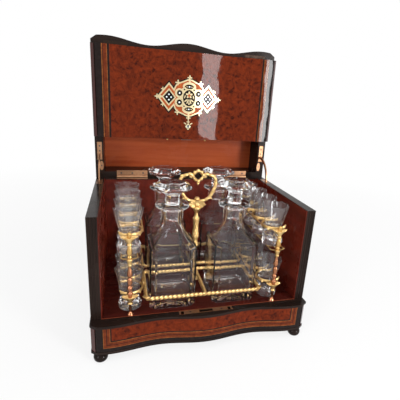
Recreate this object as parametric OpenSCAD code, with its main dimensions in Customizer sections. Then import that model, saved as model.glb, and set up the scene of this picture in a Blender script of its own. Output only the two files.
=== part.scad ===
// Antique tantalus: a serpentine-front liqueur box with a lifting lid, a folding front flap
// and a lift-out gilt rack that carries four decanters and sixteen small glasses.
// Stored open: the lid stands upright and the flap hangs in front of its rims.
// All sizes are in millimetres. Y is measured from the front ends of the side walls.

/* [Carcass] */
// Width over the side walls
case_width = 328; // [300:1:360]
// Outer depth of the case behind the side walls' front ends
case_depth = 222; // [200:1:250]
// Thickness of the side and back walls
wall_t = 14; // [10:0.5:18]
// Height of the side walls above the plinth
wall_h = 152; // [140:1:165]
// Height of the bun feet
foot_h = 14; // [10:0.5:20]
// Height of the plinth without its feet
plinth_h = 47; // [35:1:60]
// Mean depth of the serpentine front beyond the side walls
front_swell = 15; // [10:0.5:20]
// Half the difference between the lobes and the hollows of the front
front_wave = 3.5; // [2:0.5:6]
// Length of one wave of the serpentine front
wave_len = 140; // [120:1:160]
// Radius of a bun foot
foot_r = 10; // [8:0.5:14]

/* [Lid and flap] */
// Depth of the lid's rims
rim_h = 44; // [35:1:55]
// Thickness of the lid's board
lid_board_t = 12; // [8:0.5:16]
// Mean front overhang of the lid
lid_swell = 19.5; // [16:0.5:26]
// Height of the front flap
flap_h = 151.2; // [140:0.1:165]
// Distance of the flap's hinge axis from its back and top faces
flap_axis = 3.8; // [3.5:0.1:6]
// Radius of the hinge knuckles
knuckle_r = 3; // [2.5:0.1:4]
// Radius of the hinge pins
pin_r = 1.4; // [1:0.1:2]
// Radius of the curved arm of the lid stays
stay_r = 40; // [30:1:50]
// Travel of the lock bolt
bolt_throw = 5; // [3:0.5:8]

/* [Rack] */
// Half the distance between the two columns of glasses
glass_x = 110.5; // [100:0.5:115]
// Distance between neighbouring glasses in a column
glass_pitch = 43.2; // [43:0.1:48]
// Height of the glasses
glass_h = 64.5; // [55:0.5:75]
// Radius of a glass at its rim
glass_r = 21.2; // [18:0.1:24]
// Height at which the upper glasses stand above the rack's base
tier_h = 91; // [85:1:100]
// Distance of a decanter's middle from the rack's middle plane
dec_x = 48; // [45:0.5:55]
// Half the distance between the front and the back decanters
dec_y = 49.5; // [47:0.5:55]
// Half the width of a decanter
dec_a = 34.5; // [30:0.5:38]
// Height of a decanter's straight sides
dec_body = 95; // [85:1:110]
// Height of a decanter with its lip
dec_h = 156; // [145:1:170]
// Radius of the decanters' lip
lip_r = 25; // [18:0.5:28]
// Radius of the stoppers' heads over the corners
stop_r = 29; // [20:0.5:31]
// Radius of the rack's twisted rails
rail_r = 2.1; // [1.5:0.1:3]
// Height of the twisted rails above the rack's base
rail_z = 23; // [15:1:35]

/* [Clearances] */
// Gap between wooden parts that meet when the box is closed
meet_gap = 0.2; // [0.1:0.05:0.5]
// Radial clearance of the hinge pins
pin_clear = 0.05; // [0.02:0.01:0.1]
// Clearance between knuckles and their reliefs
relief = 0.4; // [0.2:0.1:0.8]
// Gap between the rack's base and the case
base_clear = 1; // [0.5:0.1:2]
// Gap between the rack's base and the lining behind it, where the flap comes down
rack_back_gap = 19.3; // [15:0.1:30]

/* [Hidden] */

hw = case_width/2;
in_x = hw - wall_t;
z_pl = foot_h + plinth_h;
z_w = z_pl + wall_h;
y_b = case_depth;
ax_y = y_b - 4;
ax_z = z_w;
lid_w = hw + 1;
fl_h = flap_h;
// Lid coordinates: the lid is drawn closed and turned up about its hinge.
y_rim = -1;
fax_y = -0.8 - flap_axis;
fax_z = z_w - meet_gap - flap_axis;
// The hanging flap keeps its attitude, so it is only carried along.
fl_dy = (ax_y - (ax_z - fax_z)) - fax_y;
fl_dz = (ax_z + (ax_y - fax_y)) - fax_z;
fl_bot = fax_z + flap_axis - fl_h;
fl_back = fax_y + flap_axis;
fl_mean = 14.5;
fl_wave = 4;
y_mid = (ax_y + meet_gap + rim_h + lid_board_t - front_swell - front_wave)/2;
zb = z_pl - 1;
base_t = 2.5;
z_floor = zb - base_t;
lin_t = 1.2;
eps = 0.01;
fork_z = 29;
fork_t = 3.5;
fork_in = 16.8;
fork_out = 19.4;
post_y = 4.5;
// The rack is drawn at its own size and takes its scale from the room in the case.
rack_mid = 94;
base_y0 = 0.4 + base_clear - 0.9;
base_y1 = y_b - wall_t - lin_t - rack_back_gap;
rack_k = round(1e6*(base_y1 - base_y0)/187)/1e6;
col_y0 = rack_mid - 1.5*glass_pitch;
inset = 6;
kn_l = 56;
fk_l = 40;
fk_x = 125;
fk_leaf = 7.4;

wood = [0.10, 0.07, 0.06];
burr = [0.55, 0.17, 0.07];
red = [0.35, 0.10, 0.06];
brass = [0.80, 0.62, 0.28];
copper = [0.70, 0.42, 0.26];
steel = [0.55, 0.52, 0.50];
glass = [0.85, 0.85, 0.88, 0.45];

function wave(x, m, a) = -(m + a*cos(360*x/wave_len));
function xs(w, s) = [for (i = [-floor(w/s):floor(w/s)]) i*s];

module at() { translate([0, -y_mid, 0]) children(); }
module on_rack() { at() translate([0, base_y0, zb]) scale(rack_k) translate([0, -base_y0, -zb])
  children(); }
module opened() { translate([0, ax_y, ax_z]) rotate([-90, 0, 0]) translate([0, -ax_y, -ax_z])
  children(); }
module carried() { translate([0, fl_dy, fl_dz]) children(); }

// Plan of a serpentine front closed by a straight back at y1, with canted front corners.
module plan(w, m, a, y1, cant = 6) {
  polygon(concat([[-w, y1]], [[-w, wave(w - cant, m, a) + cant]],
    [for (x = xs(w - cant, 4)) [x, wave(x, m, a)]],
    [[w, wave(w - cant, m, a) + cant]], [[w, y1]]));
}

// Thin sheet that follows the serpentine front.
module sheet(w, m, a, t) {
  polygon(concat([for (x = xs(w, 4)) [x, wave(x, m, a) - t]],
    [for (i = [0:2*floor(w/4)]) let (x = 4*(floor(w/4) - i)) [x, wave(x, m, a)]]));
}

module rod(p, q, r, f = 20) {
  v = q - p;
  l = norm(v);
  translate(p) rotate([0, acos(v[2]/l), atan2(v[1], v[0])]) cylinder(h = l, r = r, $fn = f);
}

module along_x(x0, x1, y, z, r, f = 40) {
  translate([x0, y, z]) rotate([0, 90, 0]) cylinder(h = x1 - x0, r = r, $fn = f);
}

// ---- Case ----

module plinth() color(wood) at() difference() {
  union() {
    translate([0, 0, foot_h + 4]) linear_extrude(plinth_h - 9)
      plan(hw, front_swell - 2.5, front_wave, y_b);
    translate([0, 0, foot_h]) linear_extrude(4 + eps)
      plan(hw + 0.6, front_swell - 1.2, front_wave, y_b + 0.6);
    translate([0, 0, z_pl - 5 - eps]) linear_extrude(2)
      plan(hw + 0.5, front_swell - 1.2, front_wave, y_b + 0.5);
    translate([0, 0, z_pl - 3 - eps]) linear_extrude(3 + eps)
      plan(hw + 1, front_swell, front_wave, y_b + 1);
  }
  // open inside under the floor board
  translate([-hw + 16, 8, foot_h - 1]) cube([case_width - 32, y_b - 24, z_floor - foot_h - 7]);
  // pocket for the floor board
  translate([-in_x, 0.4, z_floor - 8]) cube([2*in_x, y_b - wall_t - 0.4, 30]);
  // recess of the strike plate, its bolt pocket and its two pin pockets
  translate([-41, -9.4, z_pl - 1.2]) cube([82, 8.8, 2]);
  translate([-11, -8.2, z_pl - 10]) cube([22, 6.6, 12]);
  for (s = [-1, 1]) translate([s*36 - 2.6, -8.8, z_pl - 6]) cube([5.2, 7.6, 8]);
}

module plinth_panel() color(burr) at() translate([0, 0, foot_h + 4.2]) linear_extrude(plinth_h - 9.4)
  sheet(hw - 8, front_swell - 2.5, front_wave, 0.8);

module bun_feet() color(wood) at() for (x = [12 - hw, hw - 12], y = [-8, y_b - 11]) translate([x, y, 0])
  rotate_extrude($fn = 32) polygon([[0, 0], [foot_r - 3.5, 0], [foot_r - 1.2, 2], [foot_r, 5.5],
    [foot_r - 0.6, 9], [foot_r - 2.6, 11.4], [foot_r - 3.4, 12], [foot_r - 1.5, 12.8],
    [foot_r - 1.5, foot_h], [0, foot_h]]);

module floor_board() color(red) at()
  translate([-in_x, 0.4, z_floor - 8]) cube([2*in_x, y_b - wall_t - 0.4, 8]);

module wall_bevel() translate([-200, 0, 0]) rotate([90, 0, 90]) linear_extrude(400)
  polygon([[ax_y - 0.1, ax_z], [y_b + 5, ax_z - 9.1], [y_b + 5, ax_z + 5], [ax_y - 0.1, ax_z + 5]]);

module knuckle_relief() for (s = [-1, 1])
  along_x(s*100 - kn_l/2 - relief, s*100 + kn_l/2 + relief, ax_y, ax_z, knuckle_r + relief);

// Leaves are let into the wood; the same blocks cut the recess and draw the leaf.
module case_leaf_block(g = 0) for (s = [-1, 1])
  translate([s*100 - kn_l/2 - g, y_b - 16 - g, z_w - 1.4 - g]) cube([kn_l + 2*g, 12 + g, 1.3 + 2*g]);

module case_back() color(wood) at() difference() {
  translate([-in_x, y_b - wall_t, z_pl]) cube([2*in_x, wall_t, wall_h]);
  wall_bevel();
  knuckle_relief();
  case_leaf_block(0.02);
}

module slot_plate_block(s, g = 0) translate([s*(hw - 7) - 5 - g, ax_y - 52 - g, z_w - 1.4 - g])
  cube([10 + 2*g, 32 + 2*g, 1.3 + 2*g]);

// Ring sector about the lid hinge: from the front (0) downwards (90).
module stay_sector(s, x0, x1, r0, r1, a0, a1) {
  xa = s > 0 ? x0 : -x1;
  translate([xa, ax_y, ax_z]) rotate([-90, 0, -90]) rotate([0, 0, a0])
    rotate_extrude(angle = a1 - a0, $fn = 120) translate([r0, 0]) square([r1 - r0, x1 - x0]);
}

module case_side(s) difference() {
  translate([s > 0 ? in_x : -hw, 0, z_pl]) cube([wall_t, y_b, wall_h]);
  wall_bevel();
  // vertical mouldings on the front end
  for (dx = [3.2, 7, 10.8]) translate([s*(in_x + dx), -0.5, z_pl - 1])
    cylinder(h = wall_h + 2, r = 1.3, $fn = 20);
  slot_plate_block(s, 0.02);
  translate([0, 0, 0.3]) slot_plate_block(s, 0.02);
  // curved slot in which the stay arm runs
  stay_sector(s, hw - 8.6, hw - 5.4, stay_r - 3.3, stay_r + 3.3, -6, 94.5);
}

module case_side_left() color(wood) at() case_side(-1);
module case_side_right() color(wood) at() case_side(1);

module case_lining() color(red) at() {
  for (s = [-1, 1]) translate([s > 0 ? in_x - lin_t : -in_x, 0.4, z_floor])
    cube([lin_t, y_b - wall_t - 0.4, z_w - z_floor - 0.6]);
  translate([-in_x + lin_t, y_b - wall_t - lin_t, z_floor])
    cube([2*(in_x - lin_t), lin_t, z_w - z_floor - 3]);
}

module strike_plate() color(copper) at() difference() {
  translate([-41, -9.4, z_pl - 1.2]) cube([82, 8.8, 1.2]);
  heads_case(0.02);
  translate([-10.4, -7.8, z_pl - 2]) cube([20.8, 6, 3]);
  for (s = [-1, 1]) translate([s*36 - 2.3, -8.5, z_pl - 2]) cube([4.6, 7, 3]);
}

module stay_slot_plates() color(copper) at() for (s = [-1, 1]) difference() {
  slot_plate_block(s);
  heads_case(0.02);
  stay_sector(s, hw - 8.6, hw - 5.4, stay_r - 3.3, stay_r + 3.3, -6, 94.5);
}

module barrel(x0, x1, y, z) difference() {
  along_x(x0, x1, y, z, knuckle_r, 40);
  along_x(x0 - 1, x1 + 1, y, z, pin_r + pin_clear, 40);
}

kseg = kn_l/5;
module case_knuckles() for (s = [-1, 1], i = [0, 2, 4])
  barrel(s*100 - kn_l/2 + i*kseg + 0.1, s*100 - kn_l/2 + (i + 1)*kseg - 0.1, ax_y, ax_z);
module lid_knuckles() for (s = [-1, 1], i = [1, 3])
  barrel(s*100 - kn_l/2 + i*kseg + 0.1, s*100 - kn_l/2 + (i + 1)*kseg - 0.1, ax_y, ax_z);

// Countersunk screw heads; grown a little they also cut their holes.
module heads_case(g = 0) {
  for (s = [-1, 1], d = [-20, 0, 20]) translate([s*100 + d, y_b - 11, z_w - 0.9 - g])
    cylinder(h = 0.8 + 2*g, r = 1.9 + g, $fn = 24);
  for (s = [-1, 1]) translate([s*24, -5, z_pl - 0.8 - g]) cylinder(h = 0.8 + 2*g, r = 1.7 + g,
    $fn = 24);
  for (s = [-1, 1], d = [0, 27]) translate([s*(hw - 7), ax_y - 49.5 + d, z_w - 0.9 - g])
    cylinder(h = 0.8 + 2*g, r = 1.4 + g, $fn = 24);
}

module heads_lid(g = 0) {
  for (s = [-1, 1], d = [-20, 0, 20]) translate([s*100 + d, y_b - 11, z_w + 0.1 - g])
    cylinder(h = 0.8 + 2*g, r = 1.9 + g, $fn = 24);
  for (s = [-1, 1], y = [ax_y - 57, ax_y - 48]) translate([s*(hw - 7), y, z_w + 0.3 - g])
    cylinder(h = 0.8 + 2*g, r = 1.6 + g, $fn = 24);
  for (s = [-1, 1]) translate([s*(hw - 9.5), ax_y - 21, z_w + 0.3 - g])
    cylinder(h = 0.8 + 2*g, r = 1.5 + g, $fn = 24);
}

module hinge_leaves_case() color(copper) at() {
  case_knuckles();
  difference() {
    union() {
      case_leaf_block();
      for (s = [-1, 1], i = [0, 2, 4]) translate([s*100 - kn_l/2 + i*kseg + 0.1, ax_y - 4.2,
        z_w - 1.4]) cube([kseg - 0.2, 2.2, 1.3]);
    }
    for (s = [-1, 1], i = [1, 3]) along_x(s*100 - kn_l/2 + i*kseg - 0.1,
      s*100 - kn_l/2 + (i + 1)*kseg + 0.1, ax_y, ax_z, knuckle_r + relief);
    for (s = [-1, 1]) along_x(s*100 - 40, s*100 + 40, ax_y, ax_z, pin_r + pin_clear);
    heads_case(0.02);
  }
}

module case_screws() color(steel) at() heads_case();

// ---- Lid, drawn closed ----

module lid_bevel() translate([-200, 0, 0]) rotate([90, 0, 90]) linear_extrude(400)
  polygon([[ax_y - 0.1, ax_z], [y_b + 5, ax_z + 9.1], [y_b + 5, ax_z - 5], [ax_y - 0.1, ax_z - 5]]);

module lid_top() color(wood) at() opened() union() {
  translate([0, 0, z_w + meet_gap + rim_h]) linear_extrude(lid_board_t - 4)
    plan(lid_w, lid_swell, 4.5, y_b);
  translate([0, 0, z_w + meet_gap + rim_h + lid_board_t - 4]) linear_extrude(2)
    plan(lid_w - 1.2, lid_swell - 1.2, 4.5, y_b - 1.2);
  translate([0, 0, z_w + meet_gap + rim_h + lid_board_t - 2]) linear_extrude(2)
    plan(lid_w - 3.5, lid_swell - 3.5, 4.5, y_b - 3.5);
}

module lid_leaf_block(g = 0) for (s = [-1, 1])
  translate([s*100 - kn_l/2 - g, y_b - 16 - g, z_w + 0.1 - g]) cube([kn_l + 2*g, 12 + g, 1.3 + 2*g]);

module stay_root_block(s, g = 0) translate([s*(hw - 7) - 4 - g, ax_y - 64 - g, z_w + 0.3 - g])
  cube([8 + 2*g, 32 + 2*g, 1.4 + 2*g]);

module flap_leaf_block(g = 0) for (s = [-1, 1])
  translate([s*fk_x - fk_l/2 - g, -15 - g, z_w + 0.1 - g]) cube([fk_l + 2*g, 13 + 2*g, 1.3 + 2*g]);

module leaf_plate_block(s, g = 0) translate([s*(hw - 9.5), ax_y - 21, z_w + 0.3 - g])
  scale([1, 2.4, 1]) cylinder(h = 1.2 + 2*g, r = 3.6 + g, $fn = 32);

module lid_rims() color(wood) at() opened() difference() {
  translate([0, 0, z_w + meet_gap]) linear_extrude(rim_h) plan(lid_w, lid_swell - 1, 4.5, y_b);
  translate([-in_x, y_rim, z_w - 1]) cube([2*in_x, y_b - wall_t - y_rim, rim_h + 3]);
  lid_bevel();
  knuckle_relief();
  lid_leaf_block(0.02);
  flap_leaf_block(0.02);
  for (s = [-1, 1]) {
    stay_root_block(s, 0.02);
    leaf_plate_block(s, 0.02);
    translate([0, 0, -0.3]) stay_root_block(s, 0.02);
    translate([0, 0, -0.3]) leaf_plate_block(s, 0.02);
  }
}

module lid_lining() color(burr) at() opened()
  translate([-in_x + 0.3, y_rim + 0.3, z_w + meet_gap + rim_h - 1])
    cube([2*in_x - 0.6, y_b - wall_t - y_rim - 0.6, 1]);

module hinge_leaves_lid() color(copper) at() opened() {
  lid_knuckles();
  difference() {
    union() {
      lid_leaf_block();
      for (s = [-1, 1], i = [1, 3]) translate([s*100 - kn_l/2 + i*kseg + 0.1, ax_y - 4.2,
        z_w + 0.1]) cube([kseg - 0.2, 2.2, 1.3]);
    }
    for (s = [-1, 1], i = [0, 2, 4]) along_x(s*100 - kn_l/2 + i*kseg - 0.1,
      s*100 - kn_l/2 + (i + 1)*kseg + 0.1, ax_y, ax_z, knuckle_r + relief);
    for (s = [-1, 1]) along_x(s*100 - 40, s*100 + 40, ax_y, ax_z, pin_r + pin_clear);
    heads_lid(0.02);
  }
}

module stay(s) difference() {
  union() {
    stay_root_block(s);
    stay_sector(s, hw - 8, hw - 6, stay_r - 2.6, stay_r + 2.6, -2.2, 92.5);
    leaf_plate_block(s);
  }
  heads_lid(0.02);
}

module stay_left() color(copper) at() opened() stay(-1);
module stay_right() color(copper) at() opened() stay(1);

module lid_screws() color(steel) at() opened() heads_lid();

// Lid half of the flap hinges: a leaf in the front rim and the two outer knuckles.
module flap_hinge_lid() color(copper) at() opened() {
  difference() {
    union() {
      flap_leaf_block();
      for (s = [-1, 1], e = [-1, 1]) translate([s*fk_x + e*14.5 - 5.4, fax_y - 1.3, fax_z])
        cube([10.8, 2.6, z_w + 0.2 - fax_z]);
      for (s = [-1, 1], e = [-1, 1])
        along_x(s*fk_x + e*14.5 - 5.4, s*fk_x + e*14.5 + 5.4, fax_y, fax_z, knuckle_r);
    }
    for (s = [-1, 1]) along_x(s*fk_x - 40, s*fk_x + 40, fax_y, fax_z, pin_r + pin_clear);
  }
}

module lid_hinge_pins() color(copper) at() for (s = [-1, 1])
  along_x(s*100 - kn_l/2 - 0.2, s*100 + kn_l/2 + 0.2, ax_y, ax_z, pin_r);

// ---- Flap, drawn closed and carried up ----

module flap_cuts() {
  for (s = [-1, 1]) {
    along_x(s*fk_x - 9 + 0.1, s*fk_x + 9 - 0.1, fax_y, fax_z, knuckle_r + 0.02);
    for (e = [-1, 1]) along_x(s*fk_x + e*14.5 - 5.8, s*fk_x + e*14.5 + 5.8, fax_y, fax_z,
      flap_axis + relief);
    translate([s*fk_x - 20.3, fax_y - fk_leaf, z_w - meet_gap - 1.3]) cube([40.6, fk_leaf, 2]);
    along_x(s*fk_x - 20.3, s*fk_x + 20.3, fax_y, fax_z, pin_r + 0.1);
  }
  // lock pocket
  translate([-22.1, fl_back - 7.1, fl_bot - 1]) cube([44.2, 9, 36.1]);
  // pin sockets
  for (s = [-1, 1]) translate([s*36, -5, fl_bot - 1]) cylinder(h = 9, r = 1.92, $fn = 24);
}

module flap_panel() color(wood) at() carried() difference() {
  intersection() {
    translate([0, 0, fl_bot]) linear_extrude(fl_h) plan(lid_w, fl_mean - 0.8, fl_wave, fl_back);
    // top back edge rounded about the hinge axis
    union() {
      translate([-200, -60, fl_bot - 1]) cube([400, 60 + fl_back + 1, fl_h + 1 - flap_axis]);
      translate([-200, -60, fl_bot - 1]) cube([400, 60 + fax_y, fl_h + 2]);
      along_x(-200, 200, fax_y, fax_z, flap_axis, 60);
    }
  }
  flap_cuts();
}

module flap_veneer() color(burr) at() carried() translate([0, 0, fl_bot + 0.3])
  linear_extrude(fl_h - 0.6) sheet(hw - 6, fl_mean - 0.8, fl_wave, 0.8);

module medallion_shape() {
  scale([1, 0.62]) circle(r = 41, $fn = 72);
  for (s = [-1, 1]) translate([s*41, 0]) rotate(45) square(22, center = true);
  for (s = [-1, 1]) translate([0, s*24]) scale([1.1, 1]) circle(r = 13, $fn = 40);
}

z_med = fl_bot + 74;
module medallion() color(wood) at() carried() intersection() {
  translate([0, 0, z_med - 60]) linear_extrude(120) sheet(100, fl_mean, fl_wave, 0.4);
  translate([0, 0, z_med]) rotate([90, 0, 0]) linear_extrude(60) medallion_shape();
}

module keyhole_escutcheon() color(brass) at() carried() difference() {
  intersection() {
    translate([0, 0, fl_bot + 10]) linear_extrude(40) sheet(40, fl_mean, fl_wave, 0.5);
    translate([0, 0, z_med - 50]) rotate([90, 0, 0]) linear_extrude(60) union() {
      circle(r = 4.6, $fn = 40);
      translate([-3.6, -6.4]) square([7.2, 6]);
    }
  }
  translate([0, 0, z_med - 50]) rotate([90, 0, 0]) linear_extrude(60) union() {
    circle(r = 1.7, $fn = 24);
    translate([-0.8, -4.6]) square([1.6, 4.6]);
  }
}

module lock_case() color(brass) at() carried() difference() {
  translate([-22, fl_back - 7, fl_bot + 0.1]) cube([44, 6.8, 35]);
  translate([-9.4, fl_back - 4.6, fl_bot - 1]) cube([18.8, 2.8, 32]);
}

module lock_bolt() color(steel) at() carried()
  translate([-9.1, fl_back - 4.3, fl_bot - 2.6]) cube([18.2, 2.2, 24]);

module locating_pins() color(brass) at() carried() for (s = [-1, 1])
  translate([s*36, -5, fl_bot - 3.4]) rotate_extrude($fn = 24)
    polygon([[0, 0], [1, 0], [1.7, 1.2], [1.9, 2.6], [1.9, 11], [0, 11]]);

// Flap half of the flap hinges: leaf in the top edge, middle knuckle and fixed pin.
module flap_hinge_leaves() color(copper) at() carried() for (s = [-1, 1]) union() {
  along_x(s*fk_x - 9 + 0.1, s*fk_x + 9 - 0.1, fax_y, fax_z, knuckle_r);
  along_x(s*fk_x - 20, s*fk_x + 20, fax_y, fax_z, pin_r);
  translate([s*fk_x - 20, fax_y - fk_leaf, z_w - meet_gap - 1.3]) cube([40, fk_leaf - 4.7, 1.2]);
  translate([s*fk_x - 8.9, fax_y - fk_leaf, z_w - meet_gap - 1.3]) cube([17.8, fk_leaf, 1.2]);
}

// ---- Rack ----

module rack_base() color(red) at() translate([-in_x + lin_t + base_clear, base_y0, z_floor])
  cube([2*(in_x - lin_t - base_clear), base_y1 - base_y0, base_t]);

module loop(cx, cy, hx, hy, r, tube) {
  for (s = [-1, 1]) {
    translate([cx - hx + r, cy + s*hy, 0]) rotate([0, 90, 0]) cylinder(h = 2*(hx - r), r = tube,
      $fn = 16);
    translate([cx + s*hx, cy - hy + r, 0]) rotate([-90, 0, 0]) cylinder(h = 2*(hy - r), r = tube,
      $fn = 16);
  }
  for (sx = [0, 1], sy = [0, 1]) translate([cx + (2*sx - 1)*(hx - r), cy + (2*sy - 1)*(hy - r), 0])
    rotate([0, 0, sx == 1 ? (sy == 1 ? 0 : -90) : (sy == 1 ? 90 : 180)])
      rotate_extrude(angle = 90, $fn = 48) translate([r, 0]) circle(r = tube, $fn = 16);
}

module rack_rails() color(brass) on_rack() difference() {
  union() {
    for (sy = [-1, 1]) translate([0, 0, zb + rail_z])
      loop(0, rack_mid + sy*dec_y, dec_x + 40, 39.5, inset, rail_r);
    for (sy = [-1, 1])
      rod([0, rack_mid + sy*(dec_y - 39.5), zb + rail_z],
        [0, rack_mid + sy*(dec_y + 39.5), zb + rail_z], rail_r, 16);
    rod([0, rack_mid - dec_y + 39.5, zb + rail_z],
      [0, rack_mid + dec_y - 39.5, zb + rail_z], 1.6, 12);
  }
  translate([0, rack_mid, zb]) cylinder(h = 60, r = 3, $fn = 32);
}

module post_profile(r0) polygon(concat([[0, 0], [r0 + 1, 0], [r0 + 0.9, 3], [r0 - 0.6, 9],
  [r0, 14], [r0, 33.4], [r0 + 1.3, 34.6], [r0 + 1.3, 37.6], [r0 - 0.4, 39], [r0 + 0.8, 41],
  [r0 + 0.9, 48], [r0 - 0.4, 51], [r0 + 1.3, 55], [r0 + 1.1, 62], [r0 - 0.6, 72], [r0, 78],
  [r0, 90.6], [r0 + 1.3, 94], [r0 + 0.9, 100], [r0 - 0.8, 110], [r0, 113], [r0, 125.6],
  [r0 - 0.6, 128], [0, 129]]));

module rack_posts() color(brass) on_rack() for (sx = [-1, 1], py = [post_y, 2*rack_mid - post_y])
  translate([sx*glass_x, py, zb]) rotate_extrude($fn = 24) post_profile(3);

// Fork that holds a glass at its narrowest place, open towards the outer wall.
module fork(s) {
  linear_extrude(fork_t) difference() {
    union() {
      circle(r = fork_out, $fn = 60);
      translate([s > 0 ? 0 : -19, -fork_out]) square([19, 2*fork_out]);
    }
    circle(r = fork_in, $fn = 60);
    translate([s > 0 ? 0 : -30, -fork_in]) square([30, 2*fork_in]);
  }
  for (e = [-1, 1]) translate([s*19, e*(fork_in + fork_out)/2, 0])
    cylinder(h = fork_t, r = 2, $fn = 24);
}

module collar(x, y, z, h, r) translate([x, y, z]) difference() {
  cylinder(h = h, r = r, $fn = 32);
  translate([0, 0, -1]) cylinder(h = h + 2, r = 3.02, $fn = 32);
}

module glass_holders() color(brass) on_rack() difference() {
  for (s = [-1, 1]) holder_column(s);
  for (s = [-1, 1]) translate([s*(dec_x + 40), 0, zb + rail_z]) rotate([-90, 0, 0])
    cylinder(h = 200, r = rail_r, $fn = 16);
}

module holder_column(s) {
  for (i = [0:3], t = [0, 1]) translate([s*glass_x, col_y0 + i*glass_pitch, zb + t*tier_h + fork_z])
    fork(s);
  for (t = [0, 1], i = [0:2])
    translate([s*glass_x + (s > 0 ? 4 : -12), col_y0 + (i + 0.5)*glass_pitch - 3.4,
      zb + t*tier_h + fork_z + 0.6]) cube([8, 6.8, 2.2]);
  // side bar that joins the upper forks, with stubs down to the rails below the lower ones
  translate([s*(glass_x - fork_out + 0.2) - 1.1, col_y0, zb + tier_h + fork_z + 0.6])
    cube([2.2, 3*glass_pitch, 2.2]);
  translate([s*(glass_x - fork_out + 0.2) - 1.1, col_y0, zb + fork_z + 0.6])
    cube([2.2, 3*glass_pitch, 2.2]);
  for (e = [-1, 1]) rod([s*91.3, rack_mid + e*dec_y, zb + fork_z + 1.6],
    [s*88, rack_mid + e*dec_y, zb + rail_z], 1.6, 12);
  // shelf that carries the feet of the upper glasses
  difference() {
    translate([s*glass_x - 13, post_y - 1.4, zb + tier_h - 2])
      cube([26, 2*(rack_mid - post_y) + 2.8, 2]);
    for (py = [post_y, 2*rack_mid - post_y]) translate([s*glass_x, py, zb]) cylinder(h = 200,
      r = 3.02, $fn = 32);
  }
  for (py = [post_y, 2*rack_mid - post_y]) {
    collar(s*glass_x, py, zb + fork_z - 9, fork_t + 9, 4.2);
    collar(s*glass_x, py, zb + tier_h - 11, 9.2, 4.2);
    collar(s*glass_x, py, zb + tier_h + fork_z - 7, fork_t + 7, 4.2);
  }
}

module rack_pole() color(brass) on_rack() translate([0, rack_mid, zb]) rotate_extrude($fn = 32)
  polygon([[0, 0], [9, 0], [9, 2], [5.5, 4], [3, 8], [3, 60.2], [4.2, 62], [4.2, 76], [5.6, 79],
    [5.6, 112], [4, 115], [3, 118], [3, 124], [6.4, 128], [6.4, 131], [3.4, 133],
    [0, 133]]);

// Cast handle: a fan on the pole, two scrolled arms and a pierced crest.
arm = [[6, 16], [14, 17], [22, 21.5], [26, 28], [30, 36], [32.6, 45], [32.8, 54], [29.5, 60.5],
  [22, 65], [14, 66.5], [7, 64.5], [8, 59], [14, 61], [20, 59.5], [25, 56.5], [27.6, 52],
  [27.4, 45.5], [24.6, 37.5], [20, 29], [14, 24.5], [6, 23]];
module handle_outline() difference() {
  union() {
    polygon([[-3.4, 9], [3.4, 9], [3.4, 44], [13, 59.5], [0, 70], [-13, 59.5], [-3.4, 44]]);
    translate([0, 19]) scale([1.35, 0.5]) circle(r = 11, $fn = 36);
    polygon(arm);
    polygon([for (i = [len(arm) - 1:-1:0]) [-arm[i][0], arm[i][1]]]);
  }
  polygon([[0, 48.5], [7, 58.5], [0, 65], [-7, 58.5]]);
}

module rack_handle() color(brass) on_rack() translate([0, rack_mid + 3, zb + 124])
  rotate([90, 0, 0]) linear_extrude(6) handle_outline();

// ---- Glass ----

module tumbler() color(glass) rotate_extrude($fn = 10) polygon([[0, 0], [15.6, 0], [16.4, 1.6],
  [16.4, 9.5], [14.6, 14], [12, 19], [11.4, 23], [12.2, 28], [14, 33], [17.2, 45],
  [glass_r, glass_h], [glass_r - 1.5, glass_h], [15.8, 47], [12, 36], [9, 31], [0, 30]]);

module glass_at(s, i, t) on_rack() translate([s*glass_x, col_y0 + i*glass_pitch, zb + t*tier_h])
  tumbler();

module glass_upper_l1() glass_at(-1, 0, 1);
module glass_upper_l2() glass_at(-1, 1, 1);
module glass_upper_l3() glass_at(-1, 2, 1);
module glass_upper_l4() glass_at(-1, 3, 1);
module glass_upper_r1() glass_at(1, 0, 1);
module glass_upper_r2() glass_at(1, 1, 1);
module glass_upper_r3() glass_at(1, 2, 1);
module glass_upper_r4() glass_at(1, 3, 1);
module glass_lower_l1() glass_at(-1, 0, 0);
module glass_lower_l2() glass_at(-1, 1, 0);
module glass_lower_l3() glass_at(-1, 2, 0);
module glass_lower_l4() glass_at(-1, 3, 0);
module glass_lower_r1() glass_at(1, 0, 0);
module glass_lower_r2() glass_at(1, 1, 0);
module glass_lower_r3() glass_at(1, 2, 0);
module glass_lower_r4() glass_at(1, 3, 0);

// Ring of a bevelled square of half-width a and bevel c, blended to a circle of radius r by k.
dec_c = 7;
dec_angles = let (b = atan((dec_a - dec_c)/dec_a)) [for (q = [0:3], t = [0, b/2, b, 90 - b,
  90 - b/2]) q*90 + t];
function sq_r(t, a, c) = let (u = abs(cos(t)), v = abs(sin(t)))
  min(a/max(u, 0.001), a/max(v, 0.001), (2*a - c)/(u + v));
function ring(z, a, c, r, k) = [for (t = dec_angles) let (q = sq_r(t, a, c)*(1 - k) + r*k)
  [q*cos(t), q*sin(t), z]];

module skin(rings) {
  n = len(rings[0]);
  m = len(rings);
  pts = [for (g = rings) each g];
  side = [for (j = [0:m - 2], i = [0:n - 1], h = [0, 1]) let (p = j*n + i, q = j*n + (i + 1)%n)
    h == 0 ? [p, p + n, q] : [q, p + n, q + n]];
  polyhedron(points = pts, faces = concat([[for (i = [0:n - 1]) i]], side,
    [[for (i = [0:n - 1]) m*n - 1 - i]]), convexity = 8);
}

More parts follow.
